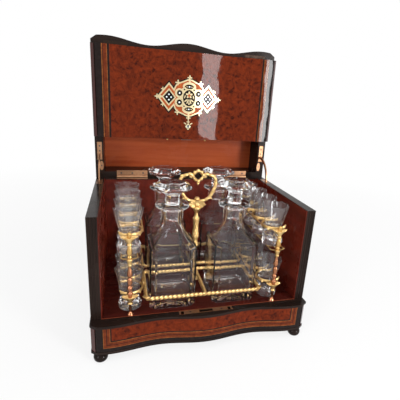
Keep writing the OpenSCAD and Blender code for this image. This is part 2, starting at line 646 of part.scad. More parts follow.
neck_r = 10.4;
module decanter() {
  a = dec_a;
  c = dec_c;
  b = dec_body;
  h = dec_h;
  color(glass) skin([ring(0, a, c, a - 9, 1), ring(0, a - 2, c, 0, 0),
    ring(1.5, a - 0.4, c, 0, 0), ring(b - 3, a, c, 0, 0),
    ring(b, a - 1, c, 28, 0.08), ring(b + 5, a - 5, c, 27, 0.35), ring(b + 12, a - 9, c, 23, 0.7),
    ring(b + 20, 22, 4, 18.6, 0.95), ring(b + 30, 20, 4, 17, 1), ring(h - 12, 20, 4, 16.6, 1),
    ring(h - 7, 20, 4, 17.2, 1), ring(h - 6, 20, 4, lip_r - 1.2, 1), ring(h - 3.5, 20, 4, lip_r, 1),
    ring(h - 0.6, 20, 4, lip_r - 0.8, 1), ring(h, 20, 4, lip_r - 3, 1),
    ring(h, 20, 4, neck_r + 0.6, 1), ring(h - 2, 20, 4, neck_r, 1), ring(b + 32, 20, 4, neck_r, 1),
    ring(b + 24, 20, 4, 12, 1), ring(b + 14, a - 14, 3, 18, 0.8), ring(b + 2, a - 7, 5, 25, 0.4),
    ring(b - 8, a - 4.5, 6, 24, 0), ring(12, a - 4.5, 6, 24, 0), ring(9, a, 6, a - 10, 1)]);
}

module decanter_at(sx, sy) on_rack() translate([sx*dec_x, rack_mid + sy*dec_y, zb]) decanter();
module decanter_fl() decanter_at(-1, -1);
module decanter_fr() decanter_at(1, -1);
module decanter_bl() decanter_at(-1, 1);
module decanter_br() decanter_at(1, 1);

module stopper() color(glass) {
  translate([0, 0, dec_h - 27]) cylinder(h = 27.5, r1 = 8.6, r2 = 9.6, $fn = 32);
  translate([0, 0, dec_h]) rotate([0, 0, 22.5]) rotate_extrude($fn = 8)
    polygon([[0, 0.3], [11.5, 0.3], [11.5, 4], [10.4, 8], [11, 13], [17, 18], [stop_r - 1.6, 22.5],
      [stop_r, 25], [stop_r - 1.6, 27.5], [21, 31], [0, 34]]);
}

module stopper_at(sx, sy) on_rack() translate([sx*dec_x, rack_mid + sy*dec_y, zb]) stopper();
module stopper_fl() stopper_at(-1, -1);
module stopper_fr() stopper_at(1, -1);
module stopper_bl() stopper_at(-1, 1);
module stopper_br() stopper_at(1, 1);

plinth();
plinth_panel();
bun_feet();
floor_board();
case_back();
case_side_left();
case_side_right();
case_lining();
strike_plate();
stay_slot_plates();
hinge_leaves_case();
case_screws();
lid_top();
lid_rims();
lid_lining();
hinge_leaves_lid();
stay_left();
stay_right();
lid_screws();
flap_hinge_lid();
lid_hinge_pins();
flap_panel();
flap_veneer();
medallion();
keyhole_escutcheon();
lock_case();
locating_pins();
flap_hinge_leaves();
lock_bolt();
rack_base();
rack_rails();
rack_posts();
glass_holders();
rack_pole();
rack_handle();
glass_upper_l1();
glass_upper_l2();
glass_upper_l3();
glass_upper_l4();
glass_upper_r1();
glass_upper_r2();
glass_upper_r3();
glass_upper_r4();
glass_lower_l1();
glass_lower_l2();
glass_lower_l3();
glass_lower_l4();
glass_lower_r1();
glass_lower_r2();
glass_lower_r3();
glass_lower_r4();
decanter_fl();
decanter_fr();
decanter_bl();
decanter_br();
stopper_fl();
stopper_fr();
stopper_bl();
stopper_br();
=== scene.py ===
# Antique tantalus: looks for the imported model, in metres, in the same frame as the solids
import bmesh
import bpy
import numpy as np
from mathutils import Matrix, Vector


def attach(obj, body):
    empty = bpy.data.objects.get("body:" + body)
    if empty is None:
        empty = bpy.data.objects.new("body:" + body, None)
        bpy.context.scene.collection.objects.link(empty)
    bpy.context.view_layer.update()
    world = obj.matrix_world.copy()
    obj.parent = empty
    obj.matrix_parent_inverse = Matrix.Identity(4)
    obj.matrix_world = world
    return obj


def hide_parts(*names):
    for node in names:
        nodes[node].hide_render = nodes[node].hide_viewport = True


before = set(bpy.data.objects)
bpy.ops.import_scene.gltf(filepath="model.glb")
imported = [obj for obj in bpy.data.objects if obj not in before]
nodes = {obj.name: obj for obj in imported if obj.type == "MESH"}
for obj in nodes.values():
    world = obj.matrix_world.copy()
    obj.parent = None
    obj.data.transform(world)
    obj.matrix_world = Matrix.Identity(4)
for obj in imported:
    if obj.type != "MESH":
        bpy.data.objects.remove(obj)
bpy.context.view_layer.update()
print("stage: frame loaded,", len(nodes), "solids")

mm = 0.001
frontY = -127.85          # the side walls' front ends, in mm along y
tau = 2 * np.pi


# camera
cameraSetup = dict(
    place=(-116.87, -553.99, 369.27),   # mm
    yaw=0.2835, pitch=0.3011, roll=0.0674,
    focal=30.395, shiftX=-0.0431, shiftY=0.0029)


def makeCamera(c):
    # forward from yaw and pitch, then right and up turned about it by the roll
    forward = np.array([np.sin(c["yaw"]) * np.cos(c["pitch"]),
                        np.cos(c["yaw"]) * np.cos(c["pitch"]), -np.sin(c["pitch"])])
    right = np.array([np.cos(c["yaw"]), -np.sin(c["yaw"]), 0.0])
    up = np.cross(right, forward)
    r = right * np.cos(c["roll"]) + up * np.sin(c["roll"])
    u = -right * np.sin(c["roll"]) + up * np.cos(c["roll"])
    data = bpy.data.cameras.new("viewCamera")
    data.lens = c["focal"]
    data.sensor_width = 36
    data.shift_x = c["shiftX"]
    data.shift_y = c["shiftY"]
    data.clip_start = 0.01
    camera = bpy.data.objects.new("viewCamera", data)
    m = Matrix.Identity(4)
    for k in range(3):
        m[k][0], m[k][1], m[k][2], m[k][3] = r[k], u[k], -forward[k], c["place"][k] * mm
    camera.matrix_world = m
    bpy.context.scene.collection.objects.link(camera)
    bpy.context.scene.camera = camera


makeCamera(cameraSetup)
print("stage: camera set")


# shader helpers and shared groups
def feed(node, values):
    # a value may be another node's socket, which is then linked; colours are given without alpha
    for key, value in values.items():
        socket = node.inputs[key]
        if isinstance(value, bpy.types.NodeSocket):
            node.id_data.links.new(value, socket)
        else:
            socket.default_value = (*value, 1) if socket.type == "RGBA" else value


def addNode(tree, kind, values, **settings):
    made = tree.nodes.new(kind)
    for key, value in settings.items():
        setattr(made, key, value)
    feed(made, values)
    return made


def mathNode(tree, operation, *terms, clamp=False):
    values = dict(enumerate(terms))
    return addNode(tree, "ShaderNodeMath", values, operation=operation, use_clamp=clamp).outputs[0]


def vectorMath(tree, operation, a, b):
    second = "Scale" if operation == "SCALE" else 1
    return addNode(tree, "ShaderNodeVectorMath", {0: a, second: b}, operation=operation).outputs[0]


def mixColour(tree, mask, a, b, blend="MIX"):
    return addNode(tree, "ShaderNodeMix", {0: mask, 6: a, 7: b}, data_type="RGBA", blend_type=blend).outputs[2]


def ramp(tree, source, stops, mode="LINEAR"):
    # stops are (position, colour), and one number stands for a grey
    made = addNode(tree, "ShaderNodeValToRGB", {0: source})
    made.color_ramp.interpolation = mode
    while len(made.color_ramp.elements) < len(stops):
        made.color_ramp.elements.new(0.5)
    for e, (at, colour) in zip(made.color_ramp.elements, stops):
        e.position = at
        e.color = (*colour, 1) if isinstance(colour, tuple) else (colour, colour, colour, 1)
    return made.outputs[0]


def noise(tree, vector, **values):
    return addNode(tree, "ShaderNodeTexNoise", {"Vector": vector, **values}).outputs


def bumped(tree, height, distance, strength=1.0):
    values = {"Height": height, "Distance": distance, "Strength": strength}
    return addNode(tree, "ShaderNodeBump", values).outputs[0]


def newGroup(name, inputs, outputs):
    # inputs and outputs give each socket's kind by its name
    group = bpy.data.node_groups.new(name, "ShaderNodeTree")
    for way, kinds in (("INPUT", inputs), ("OUTPUT", outputs)):
        for label, kind in kinds.items():
            group.interface.new_socket(label, in_out=way, socket_type="NodeSocket" + kind)
    return group, group.nodes.new("NodeGroupInput").outputs, group.nodes.new("NodeGroupOutput")


burrFigure = dict(
    light=(0.145, 0.0195, 0.0042), dark=(0.026, 0.0042, 0.0018), bend=0.018, cellScale=150.0,
    warp=dict(Scale=55.0, Detail=3.0, Roughness=0.6),
    swirl=dict(Scale=62.0, Detail=6.0, Roughness=0.66, Distortion=2.2),
    patch=dict(Scale=14.0, Detail=2.0), pores=dict(Scale=900.0, Detail=2.0),
    eyeStops=[(0.05, 0.9), (0.30, 0.30), (0.60, 0.0)], swirlStops=[(0.34, 0.0), (0.52, 0.42), (0.72, 1.0)],
    patchStops=[(0.36, 0.15), (0.58, 1.0)], patchFloor=0.25, swirlShare=0.78, knotShare=0.90, knotLess=-0.04,
    poreShare=0.5)


def makeBurrGroup():
    # knots: distorted cells with dark eyes, in clusters; soft swirls between them; pores: fine dark specks
    b = burrFigure
    g, given, out = newGroup("burrFigure", {"Vector": "Vector"}, {"Color": "Color"})
    warp = noise(g, given["Vector"], **b["warp"])["Color"]
    bent = vectorMath(g, "ADD", given["Vector"], vectorMath(g, "SCALE", warp, b["bend"]))
    cells = addNode(g, "ShaderNodeTexVoronoi", {"Vector": bent, "Scale": b["cellScale"], "Randomness": 1.0},
                    feature="SMOOTH_F1")
    eyes = ramp(g, cells.outputs["Distance"], b["eyeStops"])
    soft = ramp(g, noise(g, bent, **b["swirl"])["Fac"], b["swirlStops"])
    clusters = ramp(g, noise(g, given["Vector"], **b["patch"])["Fac"], b["patchStops"])
    pores = mathNode(g, "SUBTRACT", noise(g, bent, **b["pores"])["Fac"], 0.5)
    where = mathNode(g, "MULTIPLY_ADD", clusters, 1 - b["patchFloor"], b["patchFloor"])
    knots = mathNode(g, "MULTIPLY_ADD", mathNode(g, "MULTIPLY", eyes, where), b["knotShare"], b["knotLess"])
    depth = mathNode(g, "MULTIPLY_ADD", soft, b["swirlShare"], knots, clamp=True)
    mask = mathNode(g, "MULTIPLY_ADD", pores, b["poreShare"], depth, clamp=True)
    feed(out, {"Color": mixColour(g, mask, b["light"], b["dark"])})
    return g


straightGrain = dict(broad=dict(Scale=1.6, Detail=5.0, Roughness=0.6, Distortion=0.4),
                     fine=dict(Scale=14.0, Detail=3.0, Roughness=0.7), contrast=2.2, fineShare=0.6, least=0.2)


def makeGrainGroup():
    # straight grain: noise stretched along one way of the vector, with finer pores in it
    w = straightGrain
    kinds = {"Vector": "Vector", "Light": "Color", "Dark": "Color", "Stretch": "Vector"}
    g, given, out = newGroup("straightGrain", kinds, {"Color": "Color"})
    stretched = vectorMath(g, "MULTIPLY", given["Vector"], given["Stretch"])
    broad = mathNode(g, "SUBTRACT", noise(g, stretched, **w["broad"])["Fac"], 0.5)
    fine = mathNode(g, "MULTIPLY_ADD", noise(g, stretched, **w["fine"])["Fac"], w["fineShare"], w["least"])
    mask = mathNode(g, "MULTIPLY_ADD", broad, w["contrast"], fine, clamp=True)
    feed(out, {"Color": mixColour(g, mask, given["Light"], given["Dark"])})
    return g


handlingMarks = dict(smear=dict(Scale=26.0, Detail=4.0, Roughness=0.65), rub=dict(Scale=700.0, Detail=2.0),
                     cloudStops=[(0.38, 0.0), (0.70, 1.0)], rubShare=0.3, depth=0.0002)


def makeHandlingGroup():
    # handling marks: cloudy smears and fine rubbed scratches, given out as a roughness and a height
    h = handlingMarks
    kinds = {"Vector": "Vector", "Low": "Float", "High": "Float", "Scale": "Float"}
    g, given, out = newGroup("handlingMarks", kinds, {"Roughness": "Float", "Height": "Float"})
    scaled = vectorMath(g, "SCALE", given["Vector"], given["Scale"])
    smear = noise(g, scaled, **h["smear"])["Fac"]
    rub = noise(g, scaled, **h["rub"])["Fac"]
    span = mathNode(g, "SUBTRACT", given["High"], given["Low"])
    rough = mathNode(g, "MULTIPLY_ADD", ramp(g, smear, h["cloudStops"]), span, given["Low"])
    feed(out, {"Roughness": rough, "Height": mathNode(g, "MULTIPLY_ADD", rub, h["rubShare"], smear)})
    return g


burrGroup = makeBurrGroup()
grainGroup = makeGrainGroup()
handlingGroup = makeHandlingGroup()


def placeGroup(tree, group, vector, **values):
    return addNode(tree, "ShaderNodeGroup", {"Vector": vector, **values}, node_tree=group).outputs


def emptyTree(owner):
    owner.use_nodes = True
    owner.node_tree.nodes.clear()
    return owner.node_tree


def newMaterial(name, shader):
    material = bpy.data.materials.new(name)
    tree = emptyTree(material)
    principled = addNode(tree, "ShaderNodeBsdfPrincipled", shader)
    addNode(tree, "ShaderNodeOutputMaterial", {0: principled.outputs[0]})
    return material, tree, principled, tree.nodes.new("ShaderNodeTexCoord").outputs["Object"]


def addHandling(tree, principled, vector, low, high, bump, scale=1.0):
    # roughness from low to high and, where bump isn't 0, a faint relief; returns the marks' height
    marks = placeGroup(tree, handlingGroup, vector, Low=low, High=high, Scale=scale)
    feed(principled, {"Roughness": marks["Roughness"]})
    if bump:
        feed(principled, {"Normal": bumped(tree, marks["Height"], handlingMarks["depth"], bump)})
    return marks["Height"]


def woodMaterial(name, light, dark, low, high, stretch, coat=0.06, shine=0.07):
    # old polish over dark wood: a weak mirror, so that the colour stays deep in a bright room
    shader = {"Coat Weight": coat, "Coat Roughness": 0.06, "Specular IOR Level": shine}
    material, tree, principled, vector = newMaterial(name, shader)
    grain = placeGroup(tree, grainGroup, vector, Light=light, Dark=dark, Stretch=stretch)
    feed(principled, {"Base Color": grain["Color"]})
    addHandling(tree, principled, vector, low, high, 0.12)
    return material


# light and dark colour, least and most roughness, then how closely the grain lies along x, y and z
ebonised = ((0.022, 0.013, 0.010), (0.008, 0.005, 0.004), 0.14, 0.32)
ebonisedAcross = woodMaterial("ebonisedWoodAcross", *ebonised, (4, 60, 60))
ebonisedUpright = woodMaterial("ebonisedWoodUpright", *ebonised, (60, 60, 4))
liningWood = woodMaterial("liningWood", (0.135, 0.018, 0.009), (0.050, 0.006, 0.004), 0.22, 0.40, (60, 5, 40))
lidLiningWood = woodMaterial("lidLiningWood", (0.36, 0.074, 0.022), (0.235, 0.038, 0.012), 0.18, 0.34,
                             (4, 40, 60))
rackBaseWood = woodMaterial("rackBaseWood", (0.075, 0.012, 0.008), (0.026, 0.004, 0.003), 0.24, 0.42,
                            (4, 60, 60))


def metalMaterial(name, colour, dark, low, high, scale, bump=0.2, metallic=1.0, coat=0.0):
    # old metal: its colour darkens where the handling marks are deep
    material, tree, principled, vector = newMaterial(name, {"Metallic": metallic, "Coat Weight": coat})
    height = addHandling(tree, principled, vector, low, high, bump, scale)
    feed(principled, {"Base Color": mixColour(tree, height, colour, dark)})
    return material


giltBrass = metalMaterial("giltBrass", (0.90, 0.65, 0.30), (0.48, 0.29, 0.10), 0.33, 0.50, 4.0)
darkBrass = metalMaterial("darkBrass", (0.045, 0.030, 0.022), (0.02, 0.014, 0.011), 0.35, 0.55, 4.0)
copperyBrass = metalMaterial("copperyBrass", (0.55, 0.32, 0.18), (0.28, 0.14, 0.075), 0.30, 0.52, 4.0)
greySteel = metalMaterial("greySteel", (0.22, 0.17, 0.14), (0.07, 0.05, 0.045), 0.30, 0.55, 6.0)

# colours of the posts, each with a darker tone: copper on the lower balusters, gold above them
postLook = dict(lowerCopper=((0.66, 0.30, 0.15), (0.26, 0.10, 0.05)), gold=((0.86, 0.58, 0.22), (0.44, 0.24, 0.07)),
                low=0.18, high=0.36, bump=0.1, scale=3.0, uneven=0.02, perMetre=4.0,
                stops=[(0.585, 0.0), (0.64, 1.0)])


def postMaterial():
    # turned posts: copper, darker and redder, on the lower balusters, and gold above them
    p = postLook
    material, tree, principled, vector = newMaterial("turnedBrass", {"Metallic": 1.0})
    height = addHandling(tree, principled, vector, p["low"], p["high"], p["bump"], p["scale"])
    parts = addNode(tree, "ShaderNodeSeparateXYZ", {0: vector})
    level = mathNode(tree, "MULTIPLY_ADD", height, p["uneven"], parts.outputs[2])
    upper = ramp(tree, mathNode(tree, "MULTIPLY", level, p["perMetre"]), p["stops"])
    lowerCopper, gold = (mixColour(tree, height, *p[key]) for key in ("lowerCopper", "gold"))
    feed(principled, {"Base Color": mixColour(tree, upper, lowerCopper, gold)})
    return material


turnedBrass = postMaterial()

glassLook = dict(tint=(0.985, 0.985, 0.985), passes=0.88, ripple=dict(Scale=60.0, Detail=1.0), depth=0.001,
                 relief=0.06)     # passes: share of the light that goes through to what stands behind


def glassMaterial(name, bend, clear, mirror, coat):
    # light that falls on what stands behind the glass mostly passes through, so that it casts a pale shadow
    k = glassLook
    material, tree, principled, vector = newMaterial(
        name, {"Base Color": k["tint"], "Roughness": 0.0, "IOR": bend, "Transmission Weight": clear,
               "Specular Tint": mirror, "Coat Weight": coat})
    path = tree.nodes.new("ShaderNodeLightPath")
    passing = mathNode(tree, "MAXIMUM", path.outputs["Is Shadow Ray"], path.outputs["Is Diffuse Ray"])
    feed(principled, {"Alpha": mathNode(tree, "MULTIPLY_ADD", passing, -k["passes"], 1.0)})
    ripple = noise(tree, vector, **k["ripple"])["Fac"]
    feed(principled, {"Normal": bumped(tree, ripple, k["depth"], k["relief"])})
    return material


clearGlass = glassMaterial("clearGlass", 1.40, 0.997, (0.40, 0.40, 0.42), 0.0)
tumblerGlass = glassMaterial("tumblerGlass", 1.32, 0.985, (0.9, 0.9, 0.92), 0.25)
print("stage: materials made")

glassNodes = [n for n in nodes if n.startswith(("glass_upper", "glass_lower", "decanter_", "stopper_"))]
for material, names in (
        (ebonisedAcross, "plinth plinth_panel bun_feet case_back lid_top lid_rims"),
        (ebonisedAcross, "flap_panel flap_veneer medallion"),
        (ebonisedUpright, "case_side_left case_side_right"),
        (liningWood, "case_lining floor_board"), (lidLiningWood, "lid_lining"), (rackBaseWood, "rack_base"),
        (copperyBrass, "hinge_leaves_case hinge_leaves_lid stay_left stay_right stay_slot_plates strike_plate"),
        (copperyBrass, "lid_hinge_pins"), (darkBrass, "flap_hinge_lid flap_hinge_leaves"),
        (greySteel, "case_screws lid_screws lock_bolt"),
        (giltBrass, "lock_case locating_pins keyhole_escutcheon"),
        (giltBrass, "rack_rails rack_posts glass_holders rack_pole rack_handle"),
        (clearGlass, " ".join(glassNodes))):
    for n in names.split():
        nodes[n].data.materials.clear()
        nodes[n].data.materials.append(material)
print("stage: solids dressed")


# mesh helpers: arrays in mm, with y from the walls' front ends; makePiece turns them to metres
def gridFaces(nu, nv, wrapU, wrapV, start):
    # quads between neighbouring rows and columns, wrapped where a way of the grid closes
    i = np.arange(nu if wrapU else nu - 1)[:, None]
    j = np.arange(nv if wrapV else nv - 1)[None, :]
    a, b = i * nv + j, (i + 1) % nu * nv + j
    c, d = (i + 1) % nu * nv + (j + 1) % nv, i * nv + (j + 1) % nv
    return start + np.stack([a, b, c, d], -1).reshape(-1, 4)


weldGap = 0.002 * mm     # points nearer than this are one


def makePiece(name, sheets, body, materials, stands, sharp=40):
    # a sheet is (points[rows, columns, 3], rows close, columns close, material number), or bare points
    # whose columns close; the sheets become one object of that body, in place of the solids it stands for
    points, faces, which, start = [], [], [], 0
    for sheet in sheets:
        grid, wrapU, wrapV, number = sheet if isinstance(sheet, tuple) else (sheet, False, True, 0)
        nu, nv = grid.shape[:2]
        f = gridFaces(nu, nv, wrapU, wrapV, start)
        points.append(grid.reshape(-1, 3))
        faces.append(f)
        which.append(np.full(len(f), number))
        start += nu * nv
    co = (np.concatenate(points) + np.array([0, frontY, 0])) * mm
    mesh = bpy.data.meshes.new(name)
    mesh.from_pydata(co.tolist(), [], np.concatenate(faces).tolist())
    mesh.polygons.foreach_set("material_index", np.concatenate(which).astype(np.int32))
    for m in materials:
        mesh.materials.append(m)
    work = bmesh.new()
    work.from_mesh(mesh)
    bmesh.ops.remove_doubles(work, verts=work.verts, dist=weldGap)
    bmesh.ops.dissolve_degenerate(work, edges=work.edges, dist=weldGap / 2)
    bmesh.ops.recalc_face_normals(work, faces=work.faces)
    work.to_mesh(mesh)
    work.free()
    mesh.polygons.foreach_set("use_smooth", np.ones(len(mesh.polygons), bool))
    mesh.set_sharp_from_angle(angle=np.radians(sharp))
    piece = bpy.data.objects.new(name, mesh)
    bpy.context.scene.collection.objects.link(piece)
    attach(piece, body)
    if stands:
        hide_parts(*stands)


def curveThrough(points, per):
    # smooth curve through the points: each span is a cubic whose ends lean on the neighbours
    p = np.asarray(points, float)
    q = np.vstack([2 * p[0] - p[1], p, 2 * p[-1] - p[-2]])
    t = np.linspace(0, 1, per, endpoint=False)[None, :, None]
    a, b, c, d = (q[k:len(q) - 3 + k][:, None, :] for k in range(4))
    square, cube = 2 * a - 5 * b + 4 * c - d, 3 * b - a - 3 * c + d
    spans = 0.5 * (2 * b + (c - a) * t + square * t ** 2 + cube * t ** 3)
    return np.vstack([spans.reshape(-1, p.shape[1]), p[-1]])


def revolve(profile, centre, steps, shape=None, turn=0.0):
    # the profile (radius, height) turned about an upright line; shape(angle, height) scales the radius
    profile = np.asarray(profile, float)
    t = np.linspace(0, tau, steps, endpoint=False)[None, :]
    r, z = profile[:, :1], profile[:, 1:2]
    k = 1.0 if shape is None else shape(t, z)
    return np.stack([centre[0] + r * k * np.cos(t + turn), centre[1] + r * k * np.sin(t + turn),
                     centre[2] + z + 0 * t], -1)


def alongPath(path, closed, ref):
    # for each point of the path: two directions square to it, and its distance from the start
    tangent = np.roll(path, -1, 0) - np.roll(path, 1, 0) if closed else np.gradient(path, axis=0)
    tangent /= np.linalg.norm(tangent, axis=1)[:, None]
    side = np.cross(tangent, np.asarray(ref, float))
    side /= np.linalg.norm(side, axis=1)[:, None]
    over = np.cross(side, tangent)
    step = np.linalg.norm(np.diff(path, axis=0), axis=1)
    distance = np.concatenate([[0], np.cumsum(step)])[:, None]
    return side, over, distance


def tube(path, radius, around, closed=False, ref=(0, 0, 1), flat=1.0):
    # circle (or oval, when flat isn't 1) of radius(angle, distance) about each point of the path
    side, over, distance = alongPath(path, closed, ref)
    t = np.linspace(0, tau, around, endpoint=False)[None, :]
    r = radius(t, distance) if callable(radius) else radius + 0 * t + 0 * distance
    return (path[:, None, :] + side[:, None, :] * (r * np.cos(t))[..., None]
            + over[:, None, :] * (flat * r * np.sin(t))[..., None])


def ring(path, radius, around, **more):
    return tube(path, radius, around, True, **more), True, True, 0


def capped(grid):
    # closes both ends of a tube on the middle of its first and last ring
    ends = [np.repeat(grid[k].mean(0)[None, None, :], grid.shape[1], 1) for k in (0, -1)]
    return np.concatenate([ends[0], grid, ends[1]], 0)


def ball(centre, radius, steps, squash):
    t = np.linspace(-np.pi / 2, np.pi / 2, steps)
    return revolve(np.stack([radius * np.cos(t), squash * radius * np.sin(t)], -1), centre, steps * 2)


def leaf(root, along, up, length, width, thick, curl, lobes, steps):
    # lens-shaped section along a curling spine; the width swells, tapers and is notched into lobes
    along, up = (np.asarray(v, float) / np.linalg.norm(v) for v in (along, up))
    up = up - along * (up @ along)
    up /= np.linalg.norm(up)
    side = np.cross(along, up)
    u = np.linspace(0, 1, steps)[:, None]
    bend = curl * u
    spine = root + length / curl * (along * np.sin(bend) + up * (1 - np.cos(bend)))
    normal = up * np.cos(bend) - along * np.sin(bend)
    notched = 0.80 + 0.20 * np.abs(np.cos(lobes * np.pi * u))
    half = 0.5 * width * np.sin(np.pi * u ** 0.75) * notched
    half[0] = half[-1] = 0
    t = np.linspace(0, tau, 14, endpoint=False)[None, :]
    rib = thick * (0.55 + 0.45 * np.exp(-(np.cos(t) * 2.2) ** 2))
    raised = rib * np.sin(t) * np.sin(np.pi * u) ** 0.5 + 0.30 * half * np.cos(t) ** 2
    return (spine[:, None, :] + side * (half * np.cos(t))[..., None] + normal[:, None, :] * raised[..., None])


def boxSheet(lo, hi, bevel, steps=3):
    # block with rounded edges: a squared circle carried from bottom to top
    cx, cy = (lo[0] + hi[0]) / 2, (lo[1] + hi[1]) / 2
    hx, hy = (hi[0] - lo[0]) / 2, (hi[1] - lo[1]) / 2
    q = np.linspace(0, np.pi / 2, steps + 1)
    corner = [(sx * (hx - bevel) + bevel * np.cos(q + a), sy * (hy - bevel) + bevel * np.sin(q + a))
              for a, sx, sy in ((0, 1, 1), (np.pi / 2, -1, 1), (np.pi, -1, -1), (1.5 * np.pi, 1, -1))]
    x = np.concatenate([c[0] for c in corner])[None, :]
    y = np.concatenate([c[1] for c in corner])[None, :]
    k = np.linspace(0, np.pi / 2, steps + 1)[:, None]
    inset = bevel * (1 - np.sin(k))
    rise = bevel * (1 - np.cos(k))
    low = np.stack([cx + x * (1 - inset / hx), cy + y * (1 - inset / hy), lo[2] + rise + 0 * x], -1)
    high = np.stack([cx + x * (1 - inset[::-1] / hx), cy + y * (1 - inset[::-1] / hy),
                     hi[2] - rise[::-1] + 0 * x], -1)
    return capped(np.concatenate([low, high], 0))


def polygonRadius(sides):
    # radius of a flat-sided turn: 1 at the corners, less at the middle of each side
    step = tau / sides
    return lambda t, z: np.cos(step / 2) / np.cos(np.mod(t, step) - step / 2)


# veneered fronts
frontShape = dict(flapMean=14.5, flapWave=4.0, flapDy=218.6, plinthMean=13.3, plinthWave=3.5, length=140.0)
canted = dict(wide=6.0, inset=0.5, halfThick=0.12)


def flapFrontY(x):
    # serpentine: a mean depth plus a cosine of the width
    s = frontShape
    return s["flapDy"] - (s["flapMean"] + s["flapWave"] * np.cos(tau * x / s["length"]))


def plinthFrontY(x):
    s = frontShape
    return -(s["plinthMean"] + s["plinthWave"] * np.cos(tau * x / s["length"]))


def frontSheet(half, low, high, depth, thick, rows=4, columns=241):
    # closed sheet that follows the front: bottom, face, top and back in one turn of rows
    x = np.linspace(-half, half, columns)[None, :]
    z = np.concatenate([np.linspace(low, high, rows), np.linspace(high, low, rows)])[:, None]
    back = np.concatenate([np.zeros(rows), np.full(rows, thick)])[:, None]
    grid = np.stack([x + 0 * z, depth(x) + back, z + 0 * x], -1)
    ends = [np.repeat(grid[:, k:k + 1].mean(0)[None], len(grid), 0) for k in (0, -1)]
    return np.concatenate([ends[0], grid, ends[1]], 1)


bandColours = dict(black=(0.014, 0.009, 0.008), orange=(0.155, 0.030, 0.0065), gold=(0.28, 0.090, 0.019),
                   dark=(0.035, 0.009, 0.005))
veneerLook = dict(before=8.0, span=24.0, toneDark=(0.42, 0.30, 0.24), toneStretch=(90, 90, 90), coat=0.18,
                  burrLess=-0.12, low=0.06, high=0.14, wave=dict(Scale=26.0, Detail=2.0, Roughness=0.4),
                  depth=0.0010)


def bandedVeneer(name, sideAt, topAt, stops):
    # burr in a frame of cross-banding: stops are (distance past the frame's inner line in mm, colour's name),
    # and the burr ends at the second; sideAt is that line's half width and topAt, if any, its lower height
    k = veneerLook
    shader = {"Coat Weight": 0.07, "Coat Roughness": 0.03, "Specular IOR Level": 0.05}
    material, tree, principled, vector = newMaterial(name, shader)
    parts = addNode(tree, "ShaderNodeSeparateXYZ", {0: vector}).outputs
    reach = mathNode(tree, "MULTIPLY_ADD", mathNode(tree, "ABSOLUTE", parts[0]), 1 / mm, -sideAt)
    if topAt:
        reach = mathNode(tree, "MAXIMUM", reach, mathNode(tree, "MULTIPLY_ADD", parts[2], -1 / mm, topAt))
    place = mathNode(tree, "MULTIPLY_ADD", reach, 1 / k["span"], k["before"] / k["span"], clamp=True)
    spots = [((e + k["before"]) / k["span"], bandColours[c]) for e, c in stops]
    bands = ramp(tree, place, spots, "CONSTANT")
    inside = ramp(tree, place, [(0.0, 1.0), (spots[1][0], 0.0)], "CONSTANT")
    burr = placeGroup(tree, burrGroup, vector)["Color"]
    grain = placeGroup(tree, grainGroup, vector, Light=(1, 1, 1), Dark=k["toneDark"], Stretch=k["toneStretch"])
    toned = mixColour(tree, 1.0, bands, grain["Color"], "MULTIPLY")
    coat = mathNode(tree, "MULTIPLY_ADD", inside, k["burrLess"], k["coat"])
    feed(principled, {"Base Color": mixColour(tree, inside, toned, burr), "Coat Weight": coat})
    addHandling(tree, principled, vector, k["low"], k["high"], 0)
    wavy = bumped(tree, noise(tree, vector, **k["wave"])["Fac"], k["depth"])     # the polish isn't quite flat
    feed(principled, {"Normal": wavy, "Coat Normal": wavy})
    return material


flapVeneerMaterial = bandedVeneer("flapBurrVeneer", 139.6, None, [
    (-8.0, "black"), (-4.4, "black"), (-1.0, "gold"), (-0.1, "orange"), (5.6, "dark"), (6.6, "gold"),
    (8.2, "black")])
plinthVeneerMaterial = bandedVeneer("plinthBurrVeneer", 138.0, 33.5, [
    (-8.0, "black"), (-1.8, "black"), (0.0, "gold"), (0.9, "orange"), (4.2, "dark"), (5.3, "orange"),
    (8.8, "gold"), (9.6, "black")])
cornerMaterial = woodMaterial("cornerRosewood", (0.075, 0.012, 0.008), (0.022, 0.005, 0.004), 0.10, 0.2,
                              (60, 60, 4), 0.22, 0.20)
edgeLineMaterial = woodMaterial("edgeLine", (0.36, 0.075, 0.028), (0.16, 0.028, 0.012), 0.2, 0.4, (4, 60, 60))

veneerThick = 0.8
makePiece("flapVeneer", [(frontSheet(158, 288.5, 439.1, flapFrontY, veneerThick), True, False, 0)], "flap",
          [flapVeneerMaterial], ["flap_veneer"])
makePiece("plinthVeneer", [(frontSheet(156, 18.2, 55.8, plinthFrontY, veneerThick), True, False, 0)], "case",
          [plinthVeneerMaterial], ["plinth_panel"])


def cantStrip(sign, half, mean, wave, shift, low, high):
    # strip on a canted corner: a thin block between the two edges of the cant
    wide, inset = canted["wide"], canted["inset"]
    start = np.array([half - wide, shift - (mean + wave * np.cos(tau * (half - wide) / frontShape["length"]))])
    a, b = start + inset, start + wide - inset
    n = np.array([1.0, -1.0]) / np.sqrt(2) * canted["halfThick"]
    outline = np.array([a + n, b + n, b - n, a - n]) * [sign, 1]
    return capped(np.stack([np.column_stack([outline, np.full(4, h)]) for h in (low, high)]))


# half width, the front's mean depth, wave and shift, and the strip's lower and upper end
for label, body, half, mean, wave, shift, low, high in (
        ("flapCorners", "flap", 165.0, 13.7, 4.0, 218.6, 289.0, 438.6),
        ("plinthCorners", "case", 164.0, 12.5, 3.5, 0.0, 18.6, 55.4)):
    makePiece(label, [cantStrip(s, half, mean, wave, shift, low, high) for s in (-1, 1)],
              body, [cornerMaterial], ())
makePiece("rimLine", [boxSheet((-149.9, -0.5, 60.7), (149.9, 0.38, 61.12), 0.15)],
          "case", [edgeLineMaterial], ())
print("stage: veneers made")


# inlaid medallion
medallion = dict(centre=(0.0, 362.2), round=31.5, lozengeAt=35.8, lozenge=(20.4, 25.0), edge=2.2, outline=2.4)


